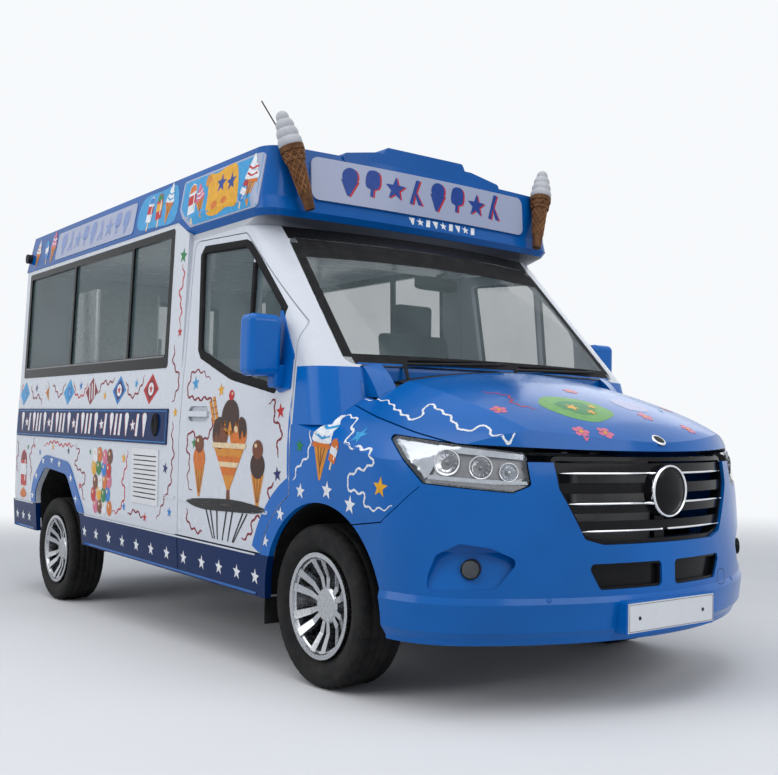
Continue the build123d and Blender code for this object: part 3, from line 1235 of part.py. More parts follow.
os.makedirs("parts", exist_ok=True)
for make in BODY_NODES:
    save(make.__name__, make())
wafers, ices = cones()
save("cone_wafers", wafers)
save("cone_tops", ices)
doors = {"door_panel": door_panel(), "door_glass": door_glass(), "mirror": mirror_unit()}
wheels = {"tyre": tyre(), "rim": rim()}
for side in ("left", "right"):
    for name, shape in doors.items():
        save(f"{name}_{side}", shape if side == "left" else mirror(shape, about=Plane.YZ))
    save(f"knuckle_{side}", knuckle() if side == "left" else mirror(knuckle(), about=Plane.YZ), body=False)
    for axle, y in (("front", 0), ("rear", WHEELBASE)):
        for name, shape in wheels.items():
            shape = Pos(WHEEL_CENTRE_X, y, TYRE_R) * shape
            save(f"{name}_{axle}_{side}", shape if side == "left" else mirror(shape, about=Plane.YZ), body=False)
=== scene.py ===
import json
import math
import random
from functools import partial

import bmesh
import bpy
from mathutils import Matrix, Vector
from mathutils.bvhtree import BVHTree
from mathutils.geometry import tessellate_polygon

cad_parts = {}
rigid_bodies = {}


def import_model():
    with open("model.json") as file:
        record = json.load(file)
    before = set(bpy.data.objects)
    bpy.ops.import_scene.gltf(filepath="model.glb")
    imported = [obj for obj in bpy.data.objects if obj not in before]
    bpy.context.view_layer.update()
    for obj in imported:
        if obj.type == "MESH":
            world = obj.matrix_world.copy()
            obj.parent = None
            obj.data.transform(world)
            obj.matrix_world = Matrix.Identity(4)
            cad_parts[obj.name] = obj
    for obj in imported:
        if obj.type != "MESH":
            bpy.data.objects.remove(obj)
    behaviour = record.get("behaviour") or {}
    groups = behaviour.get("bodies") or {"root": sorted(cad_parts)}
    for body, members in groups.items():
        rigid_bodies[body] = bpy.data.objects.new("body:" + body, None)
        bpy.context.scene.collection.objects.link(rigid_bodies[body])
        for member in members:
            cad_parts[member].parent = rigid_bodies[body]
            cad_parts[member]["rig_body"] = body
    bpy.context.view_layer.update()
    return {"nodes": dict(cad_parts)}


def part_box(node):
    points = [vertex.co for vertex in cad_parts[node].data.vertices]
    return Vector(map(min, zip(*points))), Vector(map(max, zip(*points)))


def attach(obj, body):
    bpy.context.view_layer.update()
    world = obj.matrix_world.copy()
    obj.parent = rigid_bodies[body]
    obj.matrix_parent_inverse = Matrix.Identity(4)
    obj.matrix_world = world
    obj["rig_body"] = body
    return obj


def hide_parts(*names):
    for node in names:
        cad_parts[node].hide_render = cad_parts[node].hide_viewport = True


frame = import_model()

NODES = frame["nodes"]
SIDES = (("right", -1), ("left", 1))
RAKE = math.radians(2)
COS, SIN = math.cos(RAKE), math.sin(RAKE)
SHIFT = -1.5445466
# Where rays start in the body frame, clear of the van
OUTSIDE, AHEAD, BEHIND, ABOVE = 1400, -1600, 4800, 3000


# Places. Body sizes are in millimetres, level, with y = 0 at the front axle.
def at(x, y, z):
    """A body-frame point in the row frame, in metres."""
    return Vector((x / 1000, (y * COS - z * SIN) / 1000 + SHIFT, (z * COS + y * SIN) / 1000))


def way(x, y, z):
    """A body-frame direction in the row frame, one metre long."""
    return Vector((x, y * COS - z * SIN, z * COS + y * SIN)).normalized()


LEFT, BACK, FORE, UP, DOWN = way(1, 0, 0), way(0, 1, 0), way(0, -1, 0), way(0, 0, 1), way(0, 0, -1)


def both_sides(build):
    for side_name, side in SIDES:
        build(side_name, side)


def tree(*names):
    """The surface of some CAD nodes, for laying pieces on."""
    verts, faces = [], []
    for name in names:
        start = len(verts)
        mesh = NODES[name].data
        verts += [v.co.copy() for v in mesh.vertices]
        faces += [[start + i for i in p.vertices] for p in mesh.polygons]
    return BVHTree.FromPolygons(verts, faces)


def struck(surface, start, aim, axis, sign):
    """Where a ray meets a surface, and the normal there, turned to face sign along an axis."""
    spot, normal, _, _ = surface.ray_cast(start, aim)
    if spot is not None and normal[axis] * sign < 0:
        normal = -normal
    return spot, normal


def lifted(spot, normal, lift):
    return None if spot is None else spot + normal * lift / 1000


def hit_side(surface, side, y, z, lift):
    """The point of a side surface at (y, z), lifted off it."""
    return lifted(*struck(surface, at(side * OUTSIDE, y, z), Vector((-side, 0, 0)), 0, side), lift)


def hit_front(surface, x, z, lift):
    """The point of a front surface at (x, z), lifted off it."""
    return lifted(*struck(surface, at(x, AHEAD, z), BACK, 1, -1), lift)


def hit_top(surface, x, y, lift):
    """The point of an upper surface at (x, y), lifted off it."""
    return lifted(*struck(surface, at(x, y, ABOVE), DOWN, 2, 1), lift)


# Materials
class Wires:
    """Short ways to add and join the nodes of a material or a world."""

    def __init__(self, owner):
        owner.use_nodes = True
        self.owner, self.tree = owner, owner.node_tree
        self.shader = self.tree.nodes.get("Principled BSDF")

    def feed(self, node, values):
        """Links an output, or sets a number or a colour, for each input of a node."""
        for key, value in values.items():
            socket = node.inputs[key]
            if isinstance(value, bpy.types.NodeSocket):
                self.tree.links.new(value, socket)
            else:
                socket.default_value = (*value, 1) if socket.type == "RGBA" else value
        return node

    def add(self, kind, values):
        return self.feed(self.tree.nodes.new("ShaderNode" + kind), values)

    def noise(self, scale, detail=4.0, rough=0.5, stretch=None):
        """The value of a noise texture over object coordinates."""
        place = self.add("TexCoord", {}).outputs["Object"]
        if stretch:
            place = self.add("Mapping", {"Vector": place, "Scale": stretch}).outputs["Vector"]
        sizes = {"Vector": place, "Scale": scale, "Detail": detail, "Roughness": rough}
        return self.add("TexNoise", sizes).outputs["Fac"]

    def ramp(self, source, *stops, mode="LINEAR"):
        """The colour of a ramp; each stop has a place and a grey or a colour."""
        node = self.add("ValToRGB", {"Fac": source})
        node.color_ramp.interpolation = mode
        while len(node.color_ramp.elements) < len(stops):
            node.color_ramp.elements.new(0.5)
        for element, (place, value) in zip(node.color_ramp.elements, stops):
            element.position = place
            element.color = (*value, 1) if isinstance(value, tuple) else (value, value, value, 1)
        return node.outputs["Color"]

    def mixed(self, share, a, b):
        """A mix of two colours."""
        node = self.tree.nodes.new("ShaderNodeMix")
        node.data_type = "RGBA"
        return self.feed(node, {0: share, 6: a, 7: b}).outputs[2]

    def calc(self, kind, a, b=0.0):
        """One step of arithmetic."""
        node = self.tree.nodes.new("ShaderNodeMath")
        node.operation = kind
        return self.feed(node, {0: a, 1: b}).outputs[0]

    def axis(self, index):
        """One object coordinate."""
        place = self.add("TexCoord", {}).outputs["Object"]
        return self.add("SeparateXYZ", {0: place}).outputs[index]

    def relief(self, height, strength, distance):
        """Fine bumps on the shader."""
        node = self.add("Bump", {"Height": height, "Strength": strength, "Distance": distance})
        self.feed(self.shader, {"Normal": node.outputs["Normal"]})


def new_wires(name):
    return Wires(bpy.data.materials.new(name))


def scaled(colour, gain, plus=0.0):
    return tuple(min(1, c * gain + plus) for c in colour)


def dirt(wires, colour, amount):
    """Road film that thickens from 0.9 m up towards the ground, broken up by noise."""
    low = wires.calc("MULTIPLY", wires.calc("SUBTRACT", 0.9, wires.axis(2)), amount)
    grain = wires.calc("MULTIPLY", low, wires.noise(9, 6, 0.65))
    grain = wires.calc("MINIMUM", wires.calc("MAXIMUM", grain, 0.0), 0.6)
    return wires.mixed(grain, colour, (0.10, 0.095, 0.085))


def paint(name, colour, shade, rough, coat, film, flake=0.0, shine=0.2, tint=None):
    """Gloss body paint with a faint orange peel, tone drift and road film."""
    wires = new_wires(name)
    base = wires.ramp(wires.noise(1.3, 3), (0.35, scaled(colour, shade)), (0.65, colour))
    if flake:
        sparkle = wires.ramp(wires.noise(900, 2, 0.6), (0.55, 0.0), (0.75, flake))
        base = wires.mixed(sparkle, base, scaled(colour, 1.9, 0.03))
    base = dirt(wires, base, film)
    gloss = wires.ramp(wires.noise(7, 5, 0.6), (0.3, rough * 0.9), (0.75, rough * 1.15))
    wires.feed(wires.shader, {
        "Base Color": tint(wires, base) if tint else base, "Roughness": gloss,
        "Specular IOR Level": shine, "Coat Weight": coat, "Coat Roughness": 0.06,
    })
    wires.relief(wires.noise(260, 2, 0.5), 0.02, 0.001)
    return wires.owner


def plastic(name, colour, rough=0.55, grain=700, depth=0.15, wear=0.02, shine=0.1):
    """Moulded plastic with a fine grain and paler scuffs."""
    wires = new_wires(name)
    scuff = wires.noise(14, 7, 0.7)
    wires.feed(wires.shader, {
        "Base Color": wires.ramp(scuff, (0.45, colour), (0.8, scaled(colour, 1, wear))),
        "Roughness": wires.ramp(scuff, (0.3, rough * 0.85), (0.7, min(1, rough * 1.15))),
        "Specular IOR Level": shine,
    })
    wires.relief(wires.noise(grain, 2), depth, 0.0006)
    return wires.owner


def metal(name, colour, rough, scale, stretch, depth):
    """Metal with fine drawn lines and cloudy wear."""
    wires = new_wires(name)
    lines = wires.noise(scale, 5, 0.6, stretch)
    wires.feed(wires.shader, {
        "Base Color": wires.ramp(lines, (0.3, scaled(colour, 0.8)), (0.7, colour)), "Metallic": 1.0,
        "Roughness": wires.ramp(lines, (0.3, rough * 0.7), (0.75, min(1, rough * 1.4))),
    })
    wires.relief(lines, depth, 0.0005)
    return wires.owner


def glass(name, tint, alpha):
    """Window glass: a tinted see-through sheet with faint smears; for the side windows the base colour is
    partly painted sky reflection.
    """
    wires = new_wires(name)
    smear = wires.noise(3.5, 6, 0.7)
    wires.feed(wires.shader, {
        "Base Color": wires.ramp(smear, (0.35, scaled(tint, 0.8)), (0.7, tint)),
        "Roughness": wires.ramp(smear, (0.4, 0.03), (0.8, 0.09)),
        "Alpha": wires.ramp(smear, (0.35, alpha), (0.8, min(1, alpha + 0.06))), "IOR": 1.5,
    })
    return wires.owner


def decal_paint(name, colour):
    """Hand-painted or vinyl colour with a slight brushed unevenness."""
    wires = new_wires("ink_" + name)
    stroke = wires.noise(38, 5, 0.6)
    tone = wires.ramp(stroke, (0.3, scaled(colour, 0.78)), (0.7, scaled(colour, 1.08, 0.004)))
    wires.feed(wires.shader, {"Base Color": tone, "Roughness": 0.32, "Specular IOR Level": 0.2})
    wires.relief(stroke, 0.05, 0.0004)
    return wires.owner


def tyre_material(name, dark, dust):
    """Tyre rubber, dusty in patches."""
    wires = new_wires(name)
    tone = wires.ramp(wires.noise(11, 8, 0.7), (0.4, dark), (0.8, dust))
    wires.feed(wires.shader, {"Base Color": tone, "Roughness": 0.78, "Specular IOR Level": 0.2})
    wires.relief(wires.noise(420, 3), 0.25, 0.0006)
    return wires.owner


def wafer_material(name, gain):
    """Baked wafer: brown tones, darker and lighter in patches."""
    wires = new_wires(name)
    bake = wires.noise(26, 6, 0.6)
    browns = ((0.3, (0.05, 0.020, 0.008)), (0.55, (0.115, 0.052, 0.021)), (0.8, (0.19, 0.092, 0.040)))
    tone = wires.ramp(bake, *((place, scaled(brown, gain)) for place, brown in browns))
    wires.feed(wires.shader, {"Base Color": tone, "Roughness": 0.5, "Specular IOR Level": 0.12})
    wires.relief(bake, 0.3, 0.002)
    return wires.owner


def body_axes(wires):
    """The level body frame's y and z, in metres."""
    y, z = wires.calc("SUBTRACT", wires.axis(1), SHIFT), wires.axis(2)

    def turn(kind, a, b):
        return wires.calc(kind, wires.calc("MULTIPLY", a, COS), wires.calc("MULTIPLY", b, SIN))

    return turn("ADD", y, z), turn("SUBTRACT", z, y)


def two_tone_and_shade(wires, base):
    """Turns a cab blue at the foot of its pillars and black round the windscreen; the black above the
    windscreen is partly its real black surround and partly painted shade under the front sign.
    """

    def both(a, b):
        return wires.calc("MULTIPLY", a, b)

    y, z = body_axes(wires)
    aside = wires.calc("ABSOLUTE", wires.axis(0))
    pillar = both(wires.calc("LESS_THAN", z, 1.352), wires.calc("LESS_THAN", y, 0.180))
    # Above the windscreen: black, partly the real surround and partly painted shade under the sign
    header_black_and_shade = both(wires.calc("GREATER_THAN", z, 1.992), wires.calc("LESS_THAN", y, 0.66))
    header_black_and_shade = both(header_black_and_shade, wires.calc("LESS_THAN", aside, 0.80))
    foot = both(wires.calc("LESS_THAN", z, 1.40), wires.calc("LESS_THAN", aside, 0.79))
    black = wires.calc("MAXIMUM", header_black_and_shade, foot)
    return wires.mixed(black, wires.mixed(pillar, base, BLUE), (0.012, 0.012, 0.014))


def cove_painted_shade(wires, base):
    """Painted shade: turns the cove dark grey under the front sign, where the canopy shades it; it stays pale
    past the corners.
    """
    # The front of the cove gets the painted shade, which fades out towards the corners
    shaded_front = wires.ramp(body_axes(wires)[0], (0.60, 1.0), (0.72, 0.0))
    return wires.mixed(shaded_front, base, (0.060, 0.066, 0.080))


BLUE = (0.0, 0.118, 0.44)
WHITE = (0.57, 0.60, 0.645)
EVEN = (1, 1, 1)
# Colour, shade of the drift, roughness, coat, road film, flake, shine, tint; the cab's and the cove's tints
# also paint shade
PAINTS = {
    "blue_paint": (BLUE, 0.76, 0.2, 0.12, 0.02, 0.04, 0.16),
    # This navy is partly painted shade: it is set darker to match the skirts in shade low under the body
    "navy_paint": ((0.0, 0.018, 0.092), 0.85, 0.25, 0.04, 0.03, 0.0, 0.07),
    "white_paint": (WHITE, 0.99, 0.26, 0.15, 0.03),
    "cab_two_tone": (WHITE, 0.99, 0.26, 0.1, 0.03, 0.0, 0.14, two_tone_and_shade),
    # The cove is white paint; its grey here is partly painted shade under the canopy, and its front is darkened
    # further as painted shade
    "cove_paint": ((0.44, 0.46, 0.49), 0.9, 0.4, 0.15, 0.0, 0.0, 0.2, cove_painted_shade),
    "sign_blue": ((0.0, 0.092, 0.35), 0.82, 0.25, 0.1, 0.0, 0.0, 0.14),
    # The sign boards' pale lilac is set darker, partly as painted shade of the front board in shade
    "sign_white": ((0.33, 0.37, 0.50), 0.96, 0.3, 0.2, 0.0),
    "vent_paint": ((0.66, 0.67, 0.68), 0.93, 0.35, 0.3, 0.1),
    "freezer_white": ((0.72, 0.73, 0.74), 0.95, 0.3, 0.4, 0.0),
}
# Colour, roughness, size and depth of the grain, wear, shine
PLASTICS = {
    "black_plastic": ((0.018, 0.018, 0.02),),
    "soft_black": ((0.012, 0.012, 0.013), 0.8, 300, 0.25),
    "gloss_black": ((0.008, 0.008, 0.009), 0.16, 900, 0.01, 0.004),
    "liner_plastic": ((0.012, 0.012, 0.012), 0.85, 260, 0.35),
    "dash_plastic": ((0.035, 0.036, 0.04), 0.7, 500, 0.12),
    "chassis_black": ((0.02, 0.02, 0.021), 0.6, 120, 0.3, 0.05),
    "plate_white": ((0.66, 0.68, 0.70), 0.28, 1500, 0.03, 0.0),
    "red_lens": ((0.42, 0.008, 0.006), 0.15, 90, 0.3, 0.01, 0.4),
    "seat_cloth": ((0.045, 0.05, 0.06), 0.95, 420, 0.12, 0.01),
    "floor_vinyl": ((0.20, 0.21, 0.22), 0.65, 160, 0.3),
    # The cone tops' ice is white; this grey is painted shade
    "ice_white": ((0.42, 0.43, 0.45), 0.42, 60, 0.25, 0.10),
}
# Colour, roughness, size, stretch and depth of the lines
METALS = {
    "engine_metal": ((0.30, 0.30, 0.30), 0.55, 30, EVEN, 0.3),
    "exhaust_steel": ((0.38, 0.34, 0.30), 0.45, 25, (1, 4, 1), 0.1),
    "alloy": ((0.50, 0.515, 0.54), 0.27, 90, EVEN, 0.04),
    "alloy_dark": ((0.22, 0.22, 0.23), 0.4, 60, EVEN, 0.1),
    "chrome": ((0.86, 0.87, 0.89), 0.07, 20, EVEN, 0.01),
    "counter_steel": ((0.62, 0.63, 0.64), 0.32, 40, (14, 1, 1), 0.05),
    "mirror_glass": ((0.80, 0.82, 0.84), 0.03, 5, EVEN, 0.0),
    "lamp_silver": ((0.52, 0.55, 0.60), 0.18, 30, EVEN, 0.02),
}
GLASSES = {
    "screen_glass": ((0.17, 0.24, 0.25), 0.15),
    # The side windows' pale bluish base colour is partly their tint and partly painted reflection of the sky
    "tint_glass": ((0.10, 0.165, 0.175), 0.30),
    "lens_glass": ((0.50, 0.54, 0.58), 0.13),
}
INKS = {
    "white": (0.74, 0.76, 0.78), "green": (0.01, 0.20, 0.05), "red": (0.48, 0.012, 0.015),
    "maroon": (0.20, 0.004, 0.015), "yellow": (0.72, 0.36, 0.015), "blue": (0.01, 0.19, 0.52),
    "sky": (0.03, 0.30, 0.60), "navy": (0.008, 0.012, 0.11), "deep": (0.004, 0.045, 0.26),
    "orange": (0.60, 0.15, 0.012), "amber": (0.62, 0.24, 0.025), "brown": (0.035, 0.011, 0.006),
    "chestnut": (0.15, 0.04, 0.012), "cream": (0.72, 0.56, 0.34), "black": (0.006, 0.006, 0.008),
    "pink": (0.60, 0.14, 0.24), "lilac": (0.40, 0.42, 0.62), "faded": (0.20, 0.28, 0.52),
    "lime": (0.10, 0.32, 0.06), "grey": (0.28, 0.29, 0.31),
}
LOOKS = {name: decal_paint(name, colour) for name, colour in INKS.items()}
for maker, table in (
    (paint, PAINTS), (plastic, PLASTICS), (metal, METALS), (glass, GLASSES),
    (tyre_material, {"tyre_rubber": ((0.007, 0.007, 0.0075), (0.026, 0.025, 0.023))}),
    (wafer_material, {"wafer": (1.0,), "wafer_rib": (2.3,)}),
):
    for name, sizes in table.items():
        LOOKS[name] = maker(name, *sizes)

NODE_LOOKS = {
    "chassis_black": "chassis_frame rear_axle front_suspension knuckle_right knuckle_left",
    "floor_vinyl": "floor", "engine_metal": "engine_block driveline", "exhaust_steel": "exhaust",
    "black_plastic": "fuel_tank cowl wipers roof_fittings", "liner_plastic": "arch_liners",
    "cab_two_tone": "cab_shell", "screen_glass": "windscreen", "lens_glass": "headlamps",
    "blue_paint": "front_wings front_bumper arch_flares bonnet mirror_right mirror_left",
    "white_paint": "side_walls rear_wall roof_panel door_panel_right door_panel_left",
    "tint_glass": "body_windows door_glass_right door_glass_left",
    "gloss_black": "grille window_frames fog_lamps", "navy_paint": "skirts rear_bumper banner_boards",
    "sign_blue": "roof_canopy", "cove_paint": "canopy_soffit", "sign_white": "sign_panels",
    "vent_paint": "louvre_vents", "red_lens": "rear_lamps", "plate_white": "number_plates",
    "dash_plastic": "dashboard steering_wheel", "seat_cloth": "seats", "freezer_white": "freezer",
    "counter_steel": "counters ice_cream_machine", "wafer": "cone_wafers", "ice_white": "cone_tops",
    "tyre_rubber": "tyre_front_right tyre_front_left tyre_rear_right tyre_rear_left",
    "alloy": "rim_front_right rim_front_left rim_rear_right rim_rear_left",
}
for look, nodes in NODE_LOOKS.items():
    for node in nodes.split():
        NODES[node].data.materials.clear()
        NODES[node].data.materials.append(LOOKS[look])


# Mesh pieces
class Kit:
    """Gathers verts and faces for one piece."""

    def __init__(self):
        self.verts, self.faces, self.picks, self.looks = [], [], [], []

    def add(self, verts, faces, look):
        if look not in self.looks:
            self.looks.append(look)
        start = len(self.verts)
        self.verts += list(verts)
        self.faces += [[start + i for i in f] for f in faces]
        self.picks += [self.looks.index(look)] * len(faces)
        return self

    def quad(self, spots, look):
        """Adds one four-sided face, unless a corner of it missed its surface."""
        if all(p is not None for p in spots):
            self.add(spots, [(0, 1, 2, 3)], look)

    def turn(self, look, centre, axis, segments, profile):
        self.add(*turned(profile, centre, axis, segments), look)

    def make(self, name, body, slot=None, smooth=False):
        """Makes the mesh object, riding on a body."""
        mesh = bpy.data.meshes.new(name)
        mesh.from_pydata([tuple(v) for v in self.verts], [], self.faces)
        for look in self.looks:
            mesh.materials.append(LOOKS[look])
        mesh.polygons.foreach_set("material_index", self.picks)
        mesh.polygons.foreach_set("use_smooth", [smooth] * len(mesh.polygons))
        mesh.validate()
        mesh.update()
        obj = bpy.data.objects.new(name, mesh)
        bpy.context.scene.collection.objects.link(obj)
        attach(obj, body)
        return obj


def angles(count):
    return [2 * math.pi * k / count for k in range(count)]


def square_to(run):
    """Two directions square to a direction and to each other."""
    side = run.cross(Vector((0, 0, 1)))
    if side.length < 0.05:
        side = run.cross(Vector((1, 0, 0)))
    side.normalize()
    return side, side.cross(run).normalized()


def tube(path, radius, segments, caps=True):
    """Verts and faces of a round tube along points; the radius may be a function of the share."""
    verts, faces, last = [], [], len(path) - 1
    for i, p in enumerate(path):
        side, up = square_to((path[min(i + 1, last)] - path[max(i - 1, 0)]).normalized())
        r = radius(i / last) if callable(radius) else radius
        verts += [p + side * math.cos(a) * r + up * math.sin(a) * r for a in angles(segments)]
    for i in range(last):
        for k in range(segments):
            a, b = i * segments + k, i * segments + (k + 1) % segments
            faces.append((a, b, b + segments, a + segments))
    if caps:
        faces += [range(segments - 1, -1, -1), range(last * segments, (last + 1) * segments)]
    return verts, faces


def turned(profile, centre, axis, segments):
    """Verts and faces of a profile (radius, along) in metres, turned about an axis."""
    axis = axis.normalized()
    side, up = square_to(axis)
    verts, faces, n = [], [], len(profile)
    for k, a in enumerate(angles(segments)):
        out = side * math.cos(a) - up * math.sin(a)
        verts += [centre + axis * along + out * r for r, along in profile]
        here, there = k * n, (k + 1) % segments * n
        faces += [(here + i, there + i, there + i + 1, here + i + 1) for i in range(n - 1)]
    return verts, faces


def sheet_of(rows, caps=False, flip=False):
    """Verts and faces of rows of points, joined row to row; caps closes the first and last row."""
    n, last = len(rows[0]), len(rows) - 1
    faces = []
    for a in (n * i + j for i in range(last) for j in range(n - 1)):
        faces.append((a, a + n, a + n + 1, a + 1) if flip else (a, a + 1, a + n + 1, a + n))
    if caps:
        faces += [range(n), range(n * last + n - 1, n * last - 1, -1)]
    return [p for row in rows for p in row], faces


def slab(outline, lift, thick):
    """Verts and faces of a plate: an outline and the same outline moved along a direction."""
    n = len(outline)
    faces = [range(n - 1, -1, -1), range(n, 2 * n)]
    faces += [(i, (i + 1) % n, (i + 1) % n + n, i + n) for i in range(n)]
    return outline + [p + lift * thick for p in outline], faces


# Graphics: flat outlines laid over a surface
def split_fine(points, step):
    """Triangles of a flat outline, cut until no edge is longer than step."""
    bm = bmesh.new()
    flat = [bm.verts.new((a, b, 0)) for a, b in points]
    for tri in tessellate_polygon([[Vector((a, b, 0)) for a, b in points]]):
        try:
            bm.faces.new([flat[i] for i in tri])
        except ValueError:
            pass
    for _ in range(6):
        long_edges = [e for e in bm.edges if e.calc_length() > step]
        if not long_edges:
            break
        bmesh.ops.subdivide_edges(bm, edges=long_edges, cuts=1)
        bmesh.ops.triangulate(bm, faces=[f for f in bm.faces if len(f.verts) > 3])
    bm.verts.index_update()
    verts = [(v.co.x, v.co.y) for v in bm.verts]
    faces = [tuple(v.index for v in f.verts) for f in bm.faces]
    bm.free()
    return verts, faces


class Pen(Kit):
    """A kit that draws outlines and streamers over the surface that put(a, b, lift) finds."""

    def __init__(self, put):
        super().__init__()
        self.put = put

    def draw(self, points, look, lift, step=45):
        """Adds an outline, lifted by millimetres; faces that miss the surface are left out."""
        verts, faces = split_fine(points, step)
        spots = [self.put(a, b, lift) for a, b in verts]
        found = [i for i, spot in enumerate(spots) if spot is not None]
        place = {i: k for k, i in enumerate(found)}
        good = [[place[i] for i in f] for f in faces if all(i in place for i in f)]
        if good:
            self.add([spots[i] for i in found], good, look)

    def stream(self, points, look, lift, width, wave, period, phase):
        """Adds a waving streamer."""
        for quad in ribbon(points, width, wave, period, phase):
            self.quad([self.put(a, b, lift) for a, b in quad], look)


def box(a0, b0, a1, b1):
    return [(a0, b0), (a1, b0), (a1, b1), (a0, b1)]


def wedge(a, b0, half0, b1, half1):
    """A shape from one level to another, with its half width at each."""
    return [(a - half0, b0), (a + half0, b0), (a + half1, b1), (a - half1, b1)]


def star(y, z, size, turn=90):
    """A five-point star."""
    points = []
    for k in range(10):
        r = size * (1 if k % 2 == 0 else 0.42)
        a = math.radians(turn + 36 * k)
        points.append((y + r * math.cos(a), z + r * math.sin(a)))
    return points


def placed(points, y, z, size, lean):
    """An outline scaled, leant over and moved to (y, z)."""
    c, s = math.cos(lean), math.sin(lean)
    return [(y + (a * c - b * s) * size, z + (a * s + b * c) * size) for a, b in points]


def disc(y, z, r, squeeze=1.0, count=28, turn=0.0):
    """A round or oval outline."""
    return placed([(r * math.cos(a), r * squeeze * math.sin(a)) for a in angles(count)], y, z, 1, turn)


def catmull(p0, p1, p2, p3, steps):
    """Points on the Catmull-Rom curve from p1 up to p2."""
    for t in (s / steps for s in range(steps)):
        yield 0.5 * ((2 * p1) + (p2 - p0) * t + (2 * p0 - 5 * p1 + 4 * p2 - p3) * t * t
                     + (3 * p1 - p0 - 3 * p2 + p3) * t ** 3)


def curve_through(points, steps=14):
    """A smooth line through points."""
    ends = [Vector(p) for p in (points[0], *points, points[-1])]
    out = []
    for i in range(1, len(ends) - 2):
        out += catmull(*ends[i - 1:i + 3], steps)
    return out + [ends[-2]]


def smooth_outline(points, steps):
    """A closed outline rounded through its points."""
    n, out = len(points), []
    for i in range(n):
        out += catmull(*(Vector(points[(i + j) % n]) for j in (-1, 0, 1, 2)), steps)
    return [(p.x, p.y) for p in out]


def across_at(line, i):
    """The direction across a flat line at one of its points."""
    run = (line[min(i + 1, len(line) - 1)] - line[max(i - 1, 0)]).normalized()
    return Vector((-run.y, run.x))


def ribbon(points, width, wave, period, phase):
    """Quads of a waving streamer along points, with tapered ends."""
    line = curve_through(points)
    dist, centre, edges = 0.0, [], []
    for i, p in enumerate(line):
        if i:
            dist += (p - line[i - 1]).length
        centre.append(p + across_at(line, i) * wave * math.sin(2 * math.pi * dist / period + phase))
    count = len(centre)
    for i, p in enumerate(centre):
        taper = min(1, 4 * i / count + 0.35, 4 * (count - 1 - i) / count + 0.35)
        w = width * taper * (1 + 0.25 * math.sin(i * 1.7 + phase))
        side = across_at(centre, i)
        edges.append((p + side * w / 2, p - side * w / 2))
    return [[tuple(p) for p in (a[0], b[0], b[1], a[1])] for a, b in zip(edges, edges[1:])]


# Painted graphics, the same on both sides: generic stars, streamers, diamonds and sweets
SIDE_STARS = (
    (1392, 1985, 44, "green"), (1382, 1575, 30, "red"), (1368, 1147, 30, "yellow"), (1461, 849, 34, "navy"),
    (2030, 881, 34, "yellow"), (2015, 603, 28, "blue"), (1717, 566, 28, "red"), (3677, 1312, 30, "navy"),
    (2799, 1313, 30, "blue"), (2377, 1245, 30, "yellow"), (1911, 1310, 28, "sky"), (3251, 909, 26, "yellow"),
    (3518, 866, 26, "blue"), (2949, 893, 26, "navy"), (2726, 681, 26, "red"), (3780, 893, 24, "green"),
    (3640, 905, 20, "red"), (2560, 900, 22, "green"), (1400, 620, 30, "blue"),
)
DOOR_STARS = (
    (1150, 1296, 40, "sky"), (865, 1258, 36, "yellow"), (287, 1156, 38, "red"), (293, 877, 36, "navy"),
    (1120, 993, 32, "green"),
)
SIDE_STREAMERS = (
    ((1392, 1940), (1372, 1852), (1411, 1788), (1383, 1701), (1392, 1604)),
    ((1430, 1508), (1439, 1410), (1360, 1338), (1364, 1269), (1416, 1200)),
    ((1389, 1100), (1384, 1006), (1362, 939), (1383, 862), (1389, 786), (1466, 684), (1561, 565)),
    ((1975, 930), (1990, 842), (2043, 749), (2000, 677), (2091, 575), (2191, 560)),
    ((1956, 560), (1850, 592), (1740, 560)),
    ((2827, 930), (2754, 891), (2819, 805), (2640, 748), (2692, 660), (2641, 590)),
    ((3439, 915), (3230, 945), (3080, 925), (2960, 935), (2860, 920)),
    ((1800, 1350), (1880, 1262), (1990, 1240), (2060, 1330)),
    ((2240, 1345), (2330, 1320), (2420, 1330), (2500, 1250)),
    ((2680, 1330), (2760, 1250), (2880, 1262), (2930, 1345)),
    ((3090, 1345), (3180, 1250), (3280, 1300), (3340, 1340)),
    ((3540, 1200), (3620, 1260), (3720, 1240), (3800, 1330)),
    ((3960, 1200), (4010, 1290), (3990, 1350)),
    ((3640, 960), (3690, 890), (3740, 820), (3700, 740), (3720, 660)),
    ((4030, 940), (4000, 860), (4040, 780), (4010, 700)),
)
DOOR_STREAMERS = (
    ((989, 1310), (1080, 1352), (1190, 1356), (1229, 1294), (1234, 1240), (1111, 1215), (980, 1216),
     (935, 1130), (960, 1040), (1049, 1008), (1172, 1050), (1204, 971), (1170, 905), (1190, 798), (1139, 747)),
    ((396, 1197), (338, 1195), (340, 1125), (265, 1068), (302, 998), (278, 952)),
    ((319, 835), (364, 809), (362, 739)),
    ((1193, 660), (1176, 590), (1080, 552), (1014, 554)),
    ((419, 676), (502, 663), (524, 596), (609, 557)),
)
WING_STREAMERS = (
    ((30, 1075), (27, 1022), (50, 962), (120, 918), (156, 856)),
    ((-71, 1131), (-150, 1136), (-211, 1076), (-250, 1020), (-369, 1009), (-421, 970), (-400, 942),
     (-305, 919), (-253, 879), (-282, 843), (-363, 835), (-387, 786), (-464, 783), (-539, 796)),
)
WING_STARS = (
    (262, 705, 34, "white"), (388, 575, 30, "white"), (110, 1008, 32, "green"), (-270, 1061, 34, "sky"),
    (-471, 867, 42, "yellow"), (98, 816, 36, "white"), (-107, 832, 40, "white"), (-274, 785, 40, "white"),
)
BONNET_STREAMER = (
    (-818, -95), (-787, -212), (-810, -315), (-822, -427), (-798, -452), (-728, -417), (-732, -499),
    (-737, -565), (-755, -616), (-758, -677), (-718, -700), (-684, -718), (-704, -767), (-678, -807),
    (-636, -827),
)
